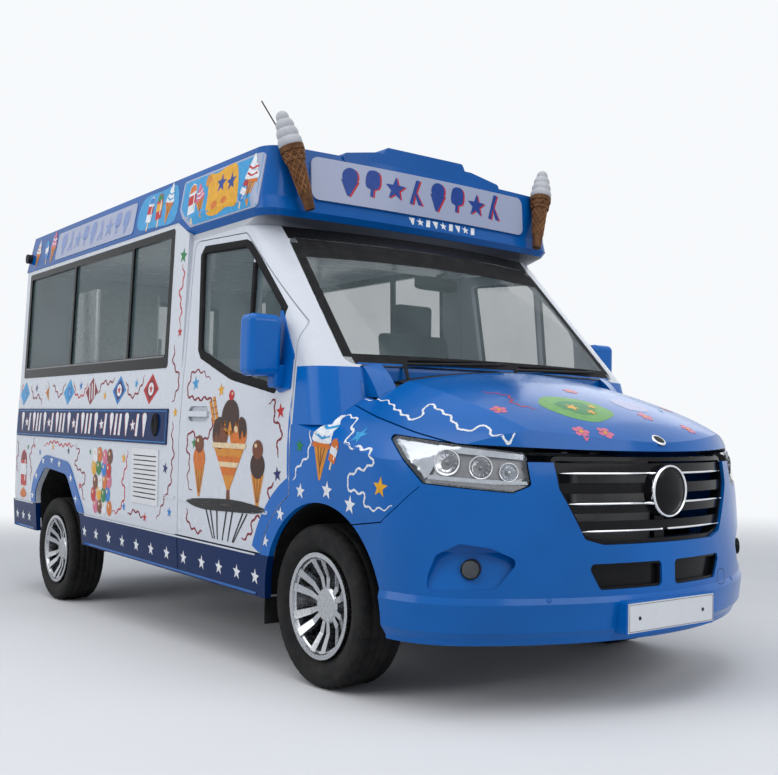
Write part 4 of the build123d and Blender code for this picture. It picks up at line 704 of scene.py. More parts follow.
BONNET_FLOWERS = ((-574, -665), (-368, -909), (-256, -932), (318, -886), (498, -629), (120, -820), (-60, -560))
ARCH_STARS = ((3424, 812), (3101, 802), (3566, 700), (2783, 590), (3250, 822), (2880, 720), (3640, 560))
SKIRT_STARS_Y = (486, 660, 840, 1025, 1232, 1436, 1638, 1838, 2042, 2248, 2450, 2645, 3735, 3870, 4005)
# Place, outer and inner ink, and what the diamond holds
DIAMONDS = (
    (3920, "sky", "sky", "lolly"), (3001, "sky", "blue", "lolly"), (2592, "maroon", "red", "bars"),
    (2149, "blue", "navy", "star"), (1694, "red", "maroon", "star"),
)


def cone_art(pen, y, z, size, inks, lean=0.0):
    """A generic ice cream in a wafer cone, drawn about (y, z)."""

    def part(points, ink, lift):
        pen.draw(placed(points, y, z, size, lean), ink, lift)

    ice, ripple = inks.split()
    part(wedge(0, 0.02, 0.25, -0.62, 0.03), "amber", 0.9)
    for k in (-1, 0, 1):
        x, low = 0.12 * k, -0.5 + 0.1 * abs(k)
        part([(x - 0.02, 0.0), (x + 0.012, 0.0), (0.02, low), (0.0, low)], "chestnut", 1.3)
    part(wedge(0, -0.02, 0.3, 0.07, 0.3), "orange", 1.3)
    swirl = [(-0.27, 0.08), (-0.31, 0.2), (-0.22, 0.3), (-0.24, 0.4), (-0.12, 0.5), (-0.1, 0.6), (0.03, 0.74),
             (0.09, 0.6), (0.16, 0.5), (0.2, 0.38), (0.25, 0.28), (0.31, 0.18), (0.27, 0.08)]
    part(smooth_outline(swirl, 3), ice, 1.5)
    for low in (0.2, 0.38):
        part([(-0.26, low), (0.0, low - 0.07), (0.26, low + 0.02), (0.2, low + 0.06), (0.0, low - 0.02),
              (-0.22, low + 0.05)], ripple, 1.9)


def lolly_art(pen, y, z, size, inks, lean=0.0):
    """A generic ice lolly in bands on its stick."""

    def part(points, ink, lift):
        pen.draw(placed(points, y, z, size, lean), ink, lift)

    body, band, tip = inks.split()
    part(wedge(0, -0.6, 0.05, -0.3, 0.05), "cream", 0.9)
    part([(-0.2, -0.32), (0.2, -0.32), (0.22, 0.3), (0.16, 0.46), (0.0, 0.54), (-0.16, 0.46), (-0.22, 0.3)],
         body, 1.3)
    part(wedge(0, -0.06, 0.21, 0.2, 0.215), band, 1.7)
    part([(-0.2, 0.28), (0.2, 0.28), (0.15, 0.44), (0.0, 0.5), (-0.15, 0.44)], tip, 1.7)
    part(box(-0.13, -0.2, -0.08, 0.3), "white", 2.1)


def sundae_art(pen):
    """The large door picture: a generic sundae glass with scoops, sauce and wafers, on a black table."""

    def shape(points, ink, lift):
        pen.draw(points, ink, lift, 60)

    shape([(650, 700), (850, 700), (850, 714), (770, 728), (764, 790), (736, 790), (730, 728), (650, 714)],
          "chestnut", 0.9)
    shape(wedge(750, 780, 14, 985, 155), "amber", 1.1)
    shape([(690, 850), (812, 850), (872, 940), (628, 940)], "orange", 1.5)
    shape([(664, 888), (840, 888), (856, 912), (646, 912)], "cream", 1.9)
    shape([(585, 978), (915, 978), (925, 1003), (575, 1003)], "cream", 2.2)
    for y, z, r, ink in ((660, 1045, 82, "orange"), (842, 1045, 82, "chestnut"), (750, 1118, 88, "amber")):
        shape(disc(y, z, r, 0.9), ink, 1.8)
        shape(disc(y + r * 0.3, z + r * 0.3, r * 0.24, 0.7, 16, 0.6), "cream", 2.2)
    sauce = [(662, 1120), (676, 1170), (718, 1206), (782, 1208), (826, 1170), (838, 1118), (818, 1074),
             (800, 1112), (772, 1060), (748, 1110), (716, 1050), (694, 1108), (676, 1082)]
    shape(smooth_outline(sauce, 3), "brown", 2.5)
    drip = [(582, 1060), (600, 1112), (648, 1128), (664, 1080), (640, 1020), (622, 1066), (604, 1030)]
    shape(smooth_outline(drip, 3), "brown", 2.4)
    drip = [(838, 1126), (900, 1112), (922, 1058), (902, 1026), (884, 1062), (862, 1022), (848, 1070)]
    shape(smooth_outline(drip, 3), "brown", 2.4)
    shape(disc(752, 1232, 25), "red", 2.8)
    shape(disc(744, 1240, 7, 1, 12), "cream", 3.2)
    for lean in (0, 1):
        y, top = 905 + 34 * lean, 1222 - 20 * lean
        shape([(y - 60, 1060), (y - 36, 1054), (y + 44, top), (y + 18, top + 8)], "amber", 1.4 + lean * 0.2)
        for k in range(5):
            a, b = y - 48 + 17 * k, 1078 + 32 * k - 4 * lean
            shape([(a - 12, b + 3), (a + 12, b - 3), (a + 13, b + 1), (a - 11, b + 7)], "chestnut", 1.9)
    for y, z, ink in ((470, 830, "brown"), (1060, 840, "orange")):
        shape(wedge(y, z + 40, 58, z - 112, 10), "amber", 1.0)
        for k in (-1, 0, 1):
            a, b = y + 34 * k, y + 5 * k
            shape([(a - 4, z + 38), (a + 3, z + 38), (b + 2, z - 92), (b - 3, z - 92)], "chestnut", 1.4)
        shape(disc(y, z + 78, 66, 0.92), ink, 1.6)
        shape(disc(y, z + 150, 48, 0.92), "chestnut", 1.9)
        shape(disc(y + 16, z + 168, 12, 0.8, 14), "cream", 2.3)
    table = [(400, 716), (700, 736), (1120, 714), (1176, 690), (1020, 670), (760, 676), (470, 690)]
    shape(smooth_outline(table, 4), "black", 2.7)
    for top, foot in ((980, 900), (930, 880), (860, 850), (760, 800), (700, 745), (600, 700), (560, 690)):
        shape([(top - 7, 680), (top + 7, 680), (foot + 5, 535), (foot - 5, 535)], "black", 1.5)


def balloon_art(pen, y, z, size, inks):
    """A generic cluster of balloons."""
    rng = random.Random(11)
    inks = inks.split()
    for row in range(5):
        for column in range(4):
            a = y + (column - 1.5) * size * 0.36 + rng.uniform(-0.05, 0.05) * size + (row % 2) * 0.12 * size
            b = z + (row - 2) * size * 0.36 + rng.uniform(-0.04, 0.04) * size
            lift = 0.35 * row
            ink = inks[(row * 3 + column * 2) % len(inks)]
            pen.draw(disc(a, b, size * 0.19, 1.15, 18), ink, 1.0 + lift, 70)
            pen.draw(disc(a + size * 0.05, b + size * 0.07, size * 0.05, 1.1, 10), "cream", 1.3 + lift, 70)


def diamond_art(pen, y, outer, inner, kind):
    """One diamond of the waist row and what it holds."""
    pen.draw([(y, 1362), (y - 95, 1275), (y + 22, 1190), (y + 110, 1272)], outer, 0.8)
    if kind == "lolly":
        pen.draw([(y - 20, 1330), (y - 52, 1262), (y + 10, 1222), (y + 42, 1290)], inner, 1.3)
        lolly_art(pen, y, 1276, 90, "white blue sky", 0.25)
    elif kind == "bars":
        for k in (-1, 0, 1):
            a, top, low = y + 36 * k, 1330 - 14 * k, 1222 - 8 * k
            pen.draw([(a + 18, top), (a + 2, top - 8), (a - 14, low), (a + 2, low + 6)], "white", 1.3)
    else:
        pen.draw([(y, 1340), (y - 70, 1275), (y + 18, 1212), (y + 84, 1273)], inner, 1.2)
        pen.draw(disc(y + 6, 1276, 36), "white", 1.6)
        pen.draw(star(y + 6, 1276, 27), "red", 2.0)


def arch_band(pen):
    """The blue band round the wheel arch on the door: rows from the panel's edge out to 600 mm."""
    arch_y, arch_z, inner, outer = -50, 325, 520, 600
    rows = []
    for a in (math.radians(21 + k) for k in range(48)):
        spots = [pen.put(arch_y + r * math.cos(a), arch_z + r * math.sin(a), 0.7)
                 for r in range(inner, outer + 1, 2)]
        found = [i for i, p in enumerate(spots) if p is not None]
        if spots[-1] is not None and len(found) > 4:
            reach = len(spots) - 1 - found[0]
            rows.append([spots[found[0] + reach * j // 4] for j in range(5)])
    pen.add(*sheet_of(rows), "blue_paint")


def side_graphics(side_name, side):
    """The painted pictures of one side, on the walls, the door, the wing and the skirt."""
    pen = Pen(partial(hit_side, tree("side_walls"), side))
    for y, z, size, ink in SIDE_STARS:
        pen.draw(star(y, z, size, 90 + (y * 7) % 30 - 15), ink, 1.0)
    for k, line in enumerate(SIDE_STREAMERS):
        pen.stream(line, "maroon" if k % 3 else "red", 0.6, 11, 9, 74, k)
    for diamond in DIAMONDS:
        diamond_art(pen, *diamond)
    cone_art(pen, 3440, 1290, 120, "white grey", -0.5)
    balloon_art(pen, 2350, 728, 212, "orange red white blue chestnut green pink yellow")
    lolly_art(pen, 3868, 712, 300, "red white maroon")
    sauce = [(3800, 560), (3870, 600), (3940, 556), (3900, 530), (3840, 532)]
    pen.draw(smooth_outline(sauce, 3), "orange", 1.6)
    pen.make(f"wall_art_{side_name}", "body", "white_paint")

    pen = Pen(partial(hit_side, tree(f"door_panel_{side_name}"), side))
    for y, z, size, ink in DOOR_STARS:
        pen.draw(star(y, z, size, 82), ink, 1.0)
    for k, line in enumerate(DOOR_STREAMERS):
        pen.stream(line, "maroon", 0.6, 11, 8, 70, k)
    sundae_art(pen)
    edge = [(186, 1300), (200, 1230), (214, 1120), (214, 900), (206, 850), (180, 850), (180, 1300)]
    pen.draw(edge, "blue_paint", 0.5)
    arch_band(pen)
    pen.make(f"door_art_{side_name}", f"door_{side_name}", "white_paint")

    pen = Pen(partial(hit_side, tree("front_wings"), side))
    for y, z, size, ink in WING_STARS:
        pen.draw(star(y, z, size, 96), ink, 1.0)
    for k, line in enumerate(WING_STREAMERS):
        pen.stream(line, "white", 0.6, 9, 7, 66, k)
    cone_art(pen, -60, 1010, 225, "white sky", 0.08)
    lolly_art(pen, -150, 985, 120, "orange white orange", 0.35)
    pen.make(f"wing_art_{side_name}", "body", "blue_paint")

    pen = Pen(partial(hit_side, tree("skirts"), side))
    for y in SKIRT_STARS_Y:
        pen.draw(star(y, 402, 38, 95), "white", 1.0)
    pen.put = partial(hit_side, tree("arch_flares"), side)
    for y, z in ARCH_STARS:
        pen.draw(star(y, z, 30, 95), "white", 1.0)
    pen.make(f"skirt_stars_{side_name}", "body", "navy_paint")


def banner_graphics(side_name, side):
    """The name board's field: a generic run of leaning lollies and cones, a pale border and the socket cap."""
    boards = tree("banner_boards")
    pen = Pen(partial(hit_side, boards, side))
    for edge in ((1462, 984, 4022, 989), (1462, 1152, 4022, 1157), (1462, 984, 1467, 1157),
                 (4017, 984, 4022, 1157)):
        pen.draw(box(*edge), "blue", 0.6, 60)
    y, k = 1745, 0
    while y < 3960:
        for a, ink, lift in ((y + 7, "red", 0.7), (y, "white", 1.1)):
            if k % 3 == 0:
                pen.draw([(a - 30, 1118), (a + 26, 1118), (a + 6, 1010), (a - 2, 1010)], ink, lift, 60)
                pen.draw(disc(a - 2, 1122, 28, 0.8, 16), ink, lift + 0.2, 60)
            elif k % 6 == 2:
                pen.draw(star(a, 1072, 36, 84), ink, lift, 60)
            else:
                pen.draw([(a - 22, 1138), (a + 8, 1138), (a + 24, 1012), (a - 6, 1012)], ink, lift, 60)
        y += (96, 62, 92, 96, 62, 70)[k % 6]
        k += 1
    pen.make(f"banner_art_{side_name}", "body", "navy_paint")

    centre = hit_side(boards, side, 1594, 1079, 0.2)
    verts, faces = turned([(0.0, 0.006), (0.022, 0.006), (0.026, 0.005), (0.030, 0.010), (0.041, 0.011),
                           (0.046, 0.008), (0.048, 0.0)], centre, Vector((side, 0, 0)), 32)
    verts = [centre + Vector((v.x - centre.x, (v.y - centre.y) * 0.86, (v.z - centre.z) * 1.35)) for v in verts]
    Kit().add(verts, faces, "soft_black").make(f"socket_cap_{side_name}", "body", "black_plastic", True)


def sign_shapes(pen, x0, x1, z0, z1, count, slant=0.12, shadow=10, inks=("deep", "red")):
    """A row of leaning generic shapes, cones, lollies and stars in turn, with a coloured shadow."""
    height = z1 - z0
    lean, w = slant * height, (x1 - x0) / count * 0.42
    for k in range(count):
        x = x0 + (x1 - x0) * (k + 0.5) / count
        low = z0 + (0.10 if k % 2 else 0.0) * height
        high = z1 - (0.0 if k % 3 else 0.06) * height
        mid = (low + high) / 2
        cone = wedge(0, high - height * 0.42, w * 0.85, low, w * 0.12)
        scoop = disc(0, high - height * 0.28, w * 0.78, 0.36 * height / w, 22)
        lolly = smooth_outline([(-w * 0.62, low + height * 0.3), (-w * 0.66, high - height * 0.12), (0, high),
                                (w * 0.66, high - height * 0.12), (w * 0.62, low + height * 0.3)], 3)
        stick = box(-w * 0.16, low, w * 0.16, low + height * 0.36)
        cross = [(-w * 0.7, low), (-w * 0.15, high), (w * 0.3, high), (-w * 0.05, mid), (w * 0.75, low),
                 (w * 0.3, low), (-w * 0.2, mid - height * 0.08), (-w * 0.3, low)]
        shapes = (((cone, 0), (scoop, 0.2)), ((lolly, 0), (stick, 0)),
                  ((star(0, mid, w * 1.12), 0),), ((cross, 0),))[k % 4]
        for dx, ink, lift in ((shadow, inks[1], 0.8), (0, inks[0], 1.3)):
            for points, extra in shapes:
                leant = [(x + dx + a + lean * ((b - low) / height - 0.5), b - dx * 0.35) for a, b in points]
                pen.draw(leant, ink, lift + extra, 80)


def front_sign():
    """Front roof sign: generic blue shapes over red shadows, and a small white row on the blue below."""
    pen = Pen(partial(hit_front, tree("sign_panels")))
    sign_shapes(pen, -560, 545, 2232, 2385, 8)
    pen.make("front_sign_art", "body", "sign_white")
    pen = Pen(partial(hit_front, tree("roof_canopy")))
    for k in range(9):
        x = -108 + 52 * k
        bar = [(x - 18, 2138), (x - 6, 2178), (x + 20, 2178), (x + 8, 2138)]
        pen.draw((wedge(x, 2176, 19, 2138, 3), star(x, 2158, 24, 86), bar)[k % 3], "white", 0.8, 80)
    pen.make("front_sign_row", "body", "sign_blue")


def side_sign(side_name, side):
    """Side roof sign: a yellow scroll with a cone, sweets, and a faded name board's field of plain shapes."""
    boards, canopy = tree("sign_panels"), tree("roof_canopy")

    def put(a, b, lift):
        spot = hit_side(boards, side, a, b, lift)
        return hit_side(canopy, side, a, b, lift) if spot is None else spot

    pen = Pen(put)
    field = [(632, 2136), (1290, 2136), (1395, 2196), (1452, 2245), (1452, 2388), (632, 2388)]
    pen.draw(field, "sky", 0.8, 90)
    scroll = [(812, 2180), (860, 2372), (960, 2392), (1080, 2376), (1168, 2380), (1150, 2270), (1140, 2172),
              (1040, 2150), (930, 2172)]
    pen.draw(smooth_outline(scroll, 4), "yellow", 1.2, 70)
    roll = [(1120, 2350), (1170, 2384), (1196, 2352), (1180, 2322), (1150, 2330)]
    pen.draw(smooth_outline(roll, 3), "amber", 1.6, 70)
    pen.draw(star(902, 2300, 50, 84), "deep", 1.8, 70)
    pen.draw(star(1010, 2310, 52, 93), "deep", 1.8, 70)
    pen.draw(disc(958, 2215, 30, 0.62, 18), "orange", 1.8, 70)
    pen.draw(disc(1060, 2206, 34, 0.62, 18), "orange", 1.8, 70)
    cone_art(pen, 700, 2262, 190, "white red", 0.1)
    lolly_art(pen, 1330, 2262, 200, "white red orange", -0.12)
    cone_art(pen, 1232, 2250, 150, "pink white", -0.3)
    lolly_art(pen, 760, 2215, 130, "blue white red", 0.4)
    pen.make(f"side_sign_art_{side_name}", "body", "sign_white")

    pen = Pen(lambda a, b, lift: hit_side(canopy, side, a, b, lift + 0.6))
    bite = [(1530, 2200), (1560, 2395), (1760, 2402), (1990, 2400), (2060, 2320), (2030, 2215), (1800, 2196)]
    pen.draw(smooth_outline(bite, 4), "sky", 0.1, 90)
    cone_art(pen, 1640, 2302, 170, "white sky", 0.15)
    lolly_art(pen, 1770, 2296, 180, "red yellow green", -0.1)
    lolly_art(pen, 1895, 2296, 180, "white red blue", 0.12)
    cone_art(pen, 3560, 2300, 170, "pink white", 0.1)
    lolly_art(pen, 3690, 2292, 160, "blue white sky", -0.15)
    cone_art(pen, 3880, 2290, 150, "white orange", 0.1)
    pen.make(f"roof_side_art_{side_name}", "body", "sign_blue")

    pen = Pen(put)
    sign_shapes(pen, 2170, 3400, 2226, 2372, 9, -0.1, -9, ("faded", "lilac"))
    pen.make(f"name_field_{side_name}", "body", "sign_white")


def bonnet_art():
    """Bonnet: a green patch of leaves, pink flowers and thin white streamers."""
    pen = Pen(partial(hit_top, tree("bonnet")))
    patch = [(-372, -690), (-340, -800), (-250, -862), (-150, -850), (-60, -800), (-90, -700), (-180, -640),
             (-290, -620)]
    pen.draw(smooth_outline(patch, 5), "lime", 0.7, 60)
    leaf = [(-300, -700), (-250, -800), (-160, -800), (-140, -720), (-210, -680)]
    pen.draw(smooth_outline(leaf, 4), "green", 1.2, 60)
    for x, y, r in ((-240, -740, 34), (-180, -790, 26), (-130, -745, 24)):
        pen.draw(star(x, y, r, 40), "yellow", 1.7, 60)
    for k, (x, y) in enumerate(BONNET_FLOWERS):
        for a in angles(5):
            pen.draw(disc(x + 22 * math.cos(a + k), y + 22 * math.sin(a + k), 15, 0.8, 12), "pink", 1.0, 60)
        pen.draw(disc(x, y, 9, 1, 10), "yellow", 1.4, 60)
    blot = [(60, -690), (120, -640), (220, -650), (250, -720), (180, -770), (90, -760)]
    pen.draw(smooth_outline(blot, 4), "lilac", 0.7, 60)
    for side in (1, -1):
        pen.stream([(x * side, y) for x, y in BONNET_STREAMER], "white", 0.7, 9, 5, 60, side)
    pen.stream([(-500, -480), (-430, -560), (-470, -640), (-420, -720)], "red", 0.7, 7, 7, 50, 0.5)
    pen.stream([(420, -480), (360, -580), (400, -660), (330, -740)], "sky", 0.7, 7, 7, 50, 0.5)
    pen.make("bonnet_art", "bonnet", "blue_paint")


both_sides(side_graphics)
both_sides(banner_graphics)
front_sign()
both_sides(side_sign)
bonnet_art()


# Trim
def grille_trim():
    """Thin bright strips along the slats, the boss's ring and its plain dome."""
    slats = tree("grille")
    kit = Kit()
    for side in (1, -1):
        for z, inner, outer in ((937, 70, 494), (822, 92, 474), (718, 14, 424)):
            rows = []
            for t in (k / 28 for k in range(29)):
                spot = hit_front(slats, side * (inner + (outer - inner) * t), z, 0.0)
                if spot is not None:
                    h = 0.0048 * min(1.0, 5 * (1 - t) + 0.25)
                    rows.append([spot - UP * h, spot - UP * h * 0.8 + FORE * 0.004, spot + FORE * 0.0055,
                                 spot + UP * h * 0.8 + FORE * 0.004, spot + UP * h])
            kit.add(*sheet_of(rows, caps=True), "chrome")
    kit.make("grille_strips", "body", None, True)
    kit = Kit()
    centre = at(0, -1038, 868)
    kit.turn("chrome", centre, FORE, 64, [(0.1035, -0.004), (0.1035, 0.006), (0.101, 0.0105), (0.0975, 0.0115),
                                          (0.0945, 0.009), (0.0935, 0.002), (0.0935, -0.004)])
    kit.turn("gloss_black", centre, FORE, 64, [(0.0, 0.0150), (0.03, 0.0142), (0.055, 0.0112), (0.075, 0.0070),
                                               (0.088, 0.0030), (0.0938, 0.0005)])
    kit.make("boss_ring", "body", None, True)


def emblem():
    """A plain round disc on the bonnet's nose, left blank."""
    spot, normal = struck(tree("bonnet"), at(0, AHEAD, 1104), way(0, 1, -0.06), 1, -1)
    kit = Kit()
    kit.turn("chrome", spot, normal, 40, [(0.0, 0.0052), (0.018, 0.0050), (0.0255, 0.0042), (0.0285, 0.0046),
                                          (0.031, 0.003), (0.0315, -0.001)])
    kit.turn("gloss_black", spot, normal, 40, [(0.0, 0.0062), (0.015, 0.0060), (0.0225, 0.0050),
                                               (0.0245, 0.0038)])
    kit.make("bonnet_disc", "bonnet", None, True)


grille_trim()
emblem()

# The lamps look out 50 degrees round the corner; the outline is across and height in that view
LAMP_TURN = math.radians(50)
LAMP_COS, LAMP_SIN = math.cos(LAMP_TURN), math.sin(LAMP_TURN)
LAMP = ((282, 1072), (-262, 1012), (-287, 892), (-222, 864), (104, 892))


def corner_view(side):
    """The look direction of a corner's lamps and their across direction."""
    return Vector((side * LAMP_SIN, -LAMP_COS, 0)), Vector((side * LAMP_COS, LAMP_SIN, 0))


def corner_point(side, a, z, reach):
    """A place in the corner view: across, height and distance out, in millimetres."""
    return at(side * (a * LAMP_COS + reach * LAMP_SIN), a * LAMP_SIN - reach * LAMP_COS, z)


def headlamp(side_name, side):
    """Clear lens, bright housing, three reflector bowls and the ribbed light bar; stands for the CAD lamp."""
    lamp_tree = tree("headlamps")
    look, across = corner_view(side)

    def put(a, z, depth):
        start, axle = corner_point(side, a, z, 1700), corner_point(side, a, z, 0)
        spot = lamp_tree.ray_cast(start, (axle - start).normalized())[0]
        back = axle - corner_point(side, a, z, 1)
        return None if spot is None else spot + back.normalized() * depth / 1000

    middle = [sum(p[i] for p in LAMP) / len(LAMP) for i in (0, 1)]
    rounded = [tuple(m + (c - m) * 0.985 for m, c in zip(middle, p)) for p in LAMP]
    pen = Pen(put)
    pen.draw(rounded, "lens_glass", 0.3, 26)
    lens = pen.make(f"headlamp_lens_{side_name}", "body", "lamp_clear", True)

    pen = Pen(put)
    pen.draw(rounded, "alloy", 42, 40)
    wall = []
    for i, corner in enumerate(rounded):
        a, b = Vector(corner), Vector(rounded[(i + 1) % len(rounded)])
        wall += [tuple(a.lerp(b, t / 12)) for t in range(12)]
    rows = [[put(a, z, depth) for a, z in wall] for depth in (3, 22, 42)]
    for low, high in zip(rows, rows[1:]):
        for i in range(len(wall)):
            j = (i + 1) % len(wall)
            pen.quad([low[i], low[j], high[j], high[i]], "gloss_black")
    sweep = smooth_outline([(270, 1066), (60, 1040), (60, 980), (110, 905), (200, 985)], 4)
    pen.draw(sweep, "lamp_silver", 20, 26)
    pen.draw([(60, 1040), (-255, 1004), (-255, 984), (60, 1012)], "lamp_silver", 16, 26)
    pen.draw([(90, 908), (-150, 893), (-276, 893), (-270, 905), (-150, 908), (90, 924)], "lamp_silver", 14, 26)
    pen.draw([(98, 900), (-60, 885), (-222, 870), (-270, 888), (-150, 892), (92, 908)], "alloy_dark", 10, 24)
    for k in range(34):
        spot = put(84 - 9.6 * k, 893 - 16 * k / 34, 9.4)
        if spot is not None:
            pen.turn("lens_glass", spot, look, 8, [(0.0, 0.0022), (0.0026, 0.0016), (0.0036, 0.0)])
    dark = [(84, 975), (52, 1022), (-90, 1006), (-250, 986), (-262, 918), (-100, 914), (40, 918)]
    pen.draw(smooth_outline(dark, 4), "alloy_dark", 32, 26)
    for a, z, r, depth, bulb in ((20, 972, 46, 30, "alloy_dark"), (-104, 954, 42, 30, "alloy_dark"),
                                 (-206, 938, 34, 26, "lamp_silver")):
        spot, s = put(a, z, depth), r / 1000
        pen.turn("chrome", spot, look, 36, [(0.0, -0.006), (s * 0.35, -0.004), (s * 0.7, 0.005),
                                            (s * 0.95, 0.016), (s, 0.020), (s * 1.06, 0.019)])
        pen.turn(bulb, spot, look, 20, [(0.0, 0.014), (s * 0.14, 0.0125), (s * 0.22, 0.008),
                                        (s * 0.24, -0.004)])
        for fin in range(6):
            angle = math.pi * fin / 6 + 0.2
            run = across * math.cos(angle) + UP * math.sin(angle)
            for sign in (1, -1):
                tip = spot + run * sign * s * 0.9 + look * 0.012
                root = spot + run * sign * s * 0.4 + look * 0.001
                pen.add(*tube([tip, (tip + root) / 2, root], 0.0011, 6), "lamp_silver")
    ring = [put(a, z, 12) for a, z in disc(20, 972, 51, 0.98, 40)]
    inner = [put(a, z, 14) for a, z in disc(20, 972, 46, 0.98, 40)]
    for i in range(40):
        j = (i + 1) % 40
        pen.quad([ring[i], ring[j], inner[j], inner[i]], "lamp_silver")
    return lens, pen.make(f"headlamp_inside_{side_name}", "body", "lamp_clear", True)


def fog_lamp_face(side_name, side):
    """Reflector, bulb cap and clear face of one fog lamp."""
    look, across = corner_view(side)
    spot = corner_point(side, -80, 582, 1131)
    kit = Kit()
    kit.turn("chrome", spot, look, 36, [(0.0, -0.016), (0.007, -0.0145), (0.014, -0.011)])
    kit.turn("gloss_black", spot, look, 36, [(0.014, -0.011), (0.026, -0.005), (0.032, 0.001), (0.0335, 0.003)])
    kit.turn("alloy_dark", spot, look, 20, [(0.0, -0.002), (0.007, -0.003), (0.009, -0.007), (0.009, -0.014)])
    kit.turn("gloss_black", spot, look, 40, [(0.033, -0.004), (0.0335, 0.0042), (0.0352, 0.0052),
                                             (0.0368, 0.0040), (0.0374, -0.004)])
    kit.make(f"fog_reflector_{side_name}", "body", "lamp_clear", True)
    kit = Kit()
    kit.turn("lens_glass", spot, look, 40, [(0.0, 0.0052), (0.012, 0.0050), (0.024, 0.0042), (0.0325, 0.0028),
                                            (0.0342, 0.001)])
    for a in (0.0085 * k for k in range(-3, 4)):
        half = math.sqrt(max(0.0, 0.031 ** 2 - a * a))
        low, high = (spot + across * a + UP * half * sign + look * 0.0046 for sign in (-1, 1))
        kit.add(*tube([low, (low + high) / 2 + look * 0.0008, high], 0.0006, 5), "lens_glass")
    kit.make(f"fog_glass_{side_name}", "body", "lamp_clear", True)


for side_name, side in SIDES:
    for part in headlamp(side_name, side):
        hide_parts("headlamps")
both_sides(fog_lamp_face)


def slab_on(kit, points, look, put, thick, step):
    """A raised strip over a surface: the laid outline with its rim turned down."""
    verts, faces = split_fine(points, step)
    n = len(verts)
    edges = [(i, j) for f in faces for i, j in zip(f, f[1:] + f[:1])]
    spots = [put(a, b, lift) for lift in (thick, 0.2) for a, b in verts]
    kit.add(spots, faces + [(j, i, i + n, j + n) for i, j in edges if (j, i) not in edges], look)


def plates():
    """Screws and a thin border on the blank number plates."""
    put = partial(hit_front, tree("number_plates"))
    kit = Kit()
    for x in (-203, 182):
        kit.turn("black_plastic", put(x, 392, 0.0), FORE, 16, [(0.0, 0.0042), (0.004, 0.0040),
                                                               (0.0068, 0.0024), (0.0072, 0.0)])
    for edge in ((-264, 343, 248, 345), (-264, 444, 248, 446), (-264, 343, -262, 446), (246, 343, 248, 446)):
        slab_on(kit, box(*edge), "alloy_dark", put, 0.9, 90)
    kit.make("plate_screws", "body", None, True)


plates()

# The tyre's section, in metres: bead radius, shoulder radius, height of the tread, its main grooves
BEAD, SHOULDER, TREAD = 0.221, 0.034, 0.010
GROOVES = (-0.0565, -0.0195, 0.0195, 0.0565)
GROOVE_HALF = 0.0045
TYRE_TURNS = 200


def tyre_section(half, big):
    """Places (across, radius) from the inner bead round the tread to the outer bead."""
    wall = []
    for u in (t / 8 for t in range(9)):
        bulge = 0.72 + 0.28 * math.sin(u * math.pi * 0.62)
        wall.append((-half * bulge, BEAD + (big - SHOULDER - BEAD) * u))
    for a in (math.pi / 2 * t / 6 for t in range(1, 7)):
        wall.append((-half + SHOULDER * (1 - math.cos(a)), big - SHOULDER + SHOULDER * math.sin(a)))
    crown = [-0.82 + 1.64 * t / 26 for t in range(1, 26)]
    tread = [((half - SHOULDER) * c / 0.82, big - 0.0012 * (c / 0.82) ** 2) for c in crown]
    return wall + tread + [(-x, r) for x, r in wall[::-1]]


def tread_depth(x, r, big, k):
    """How deep the tread or the sidewall line is cut at one place of turn k."""
    edge = GROOVES[-1]
    if r > big - TREAD:
        if any(abs(x - g) < GROOVE_HALF for g in GROOVES):
            return 0.0085
        if abs(x) > edge and (k + int(abs(x) * 300)) % 5 == 0:
            return 0.006
        if abs(x) < edge and (k * 2 + int((x + 0.2) * 240)) % 9 == 0:
            return 0.003
    elif big - SHOULDER < r and k % 5 == 0:
        return 0.0035
    elif abs(r - 0.262) < 0.004:
        return 0.0012
    return 0.0


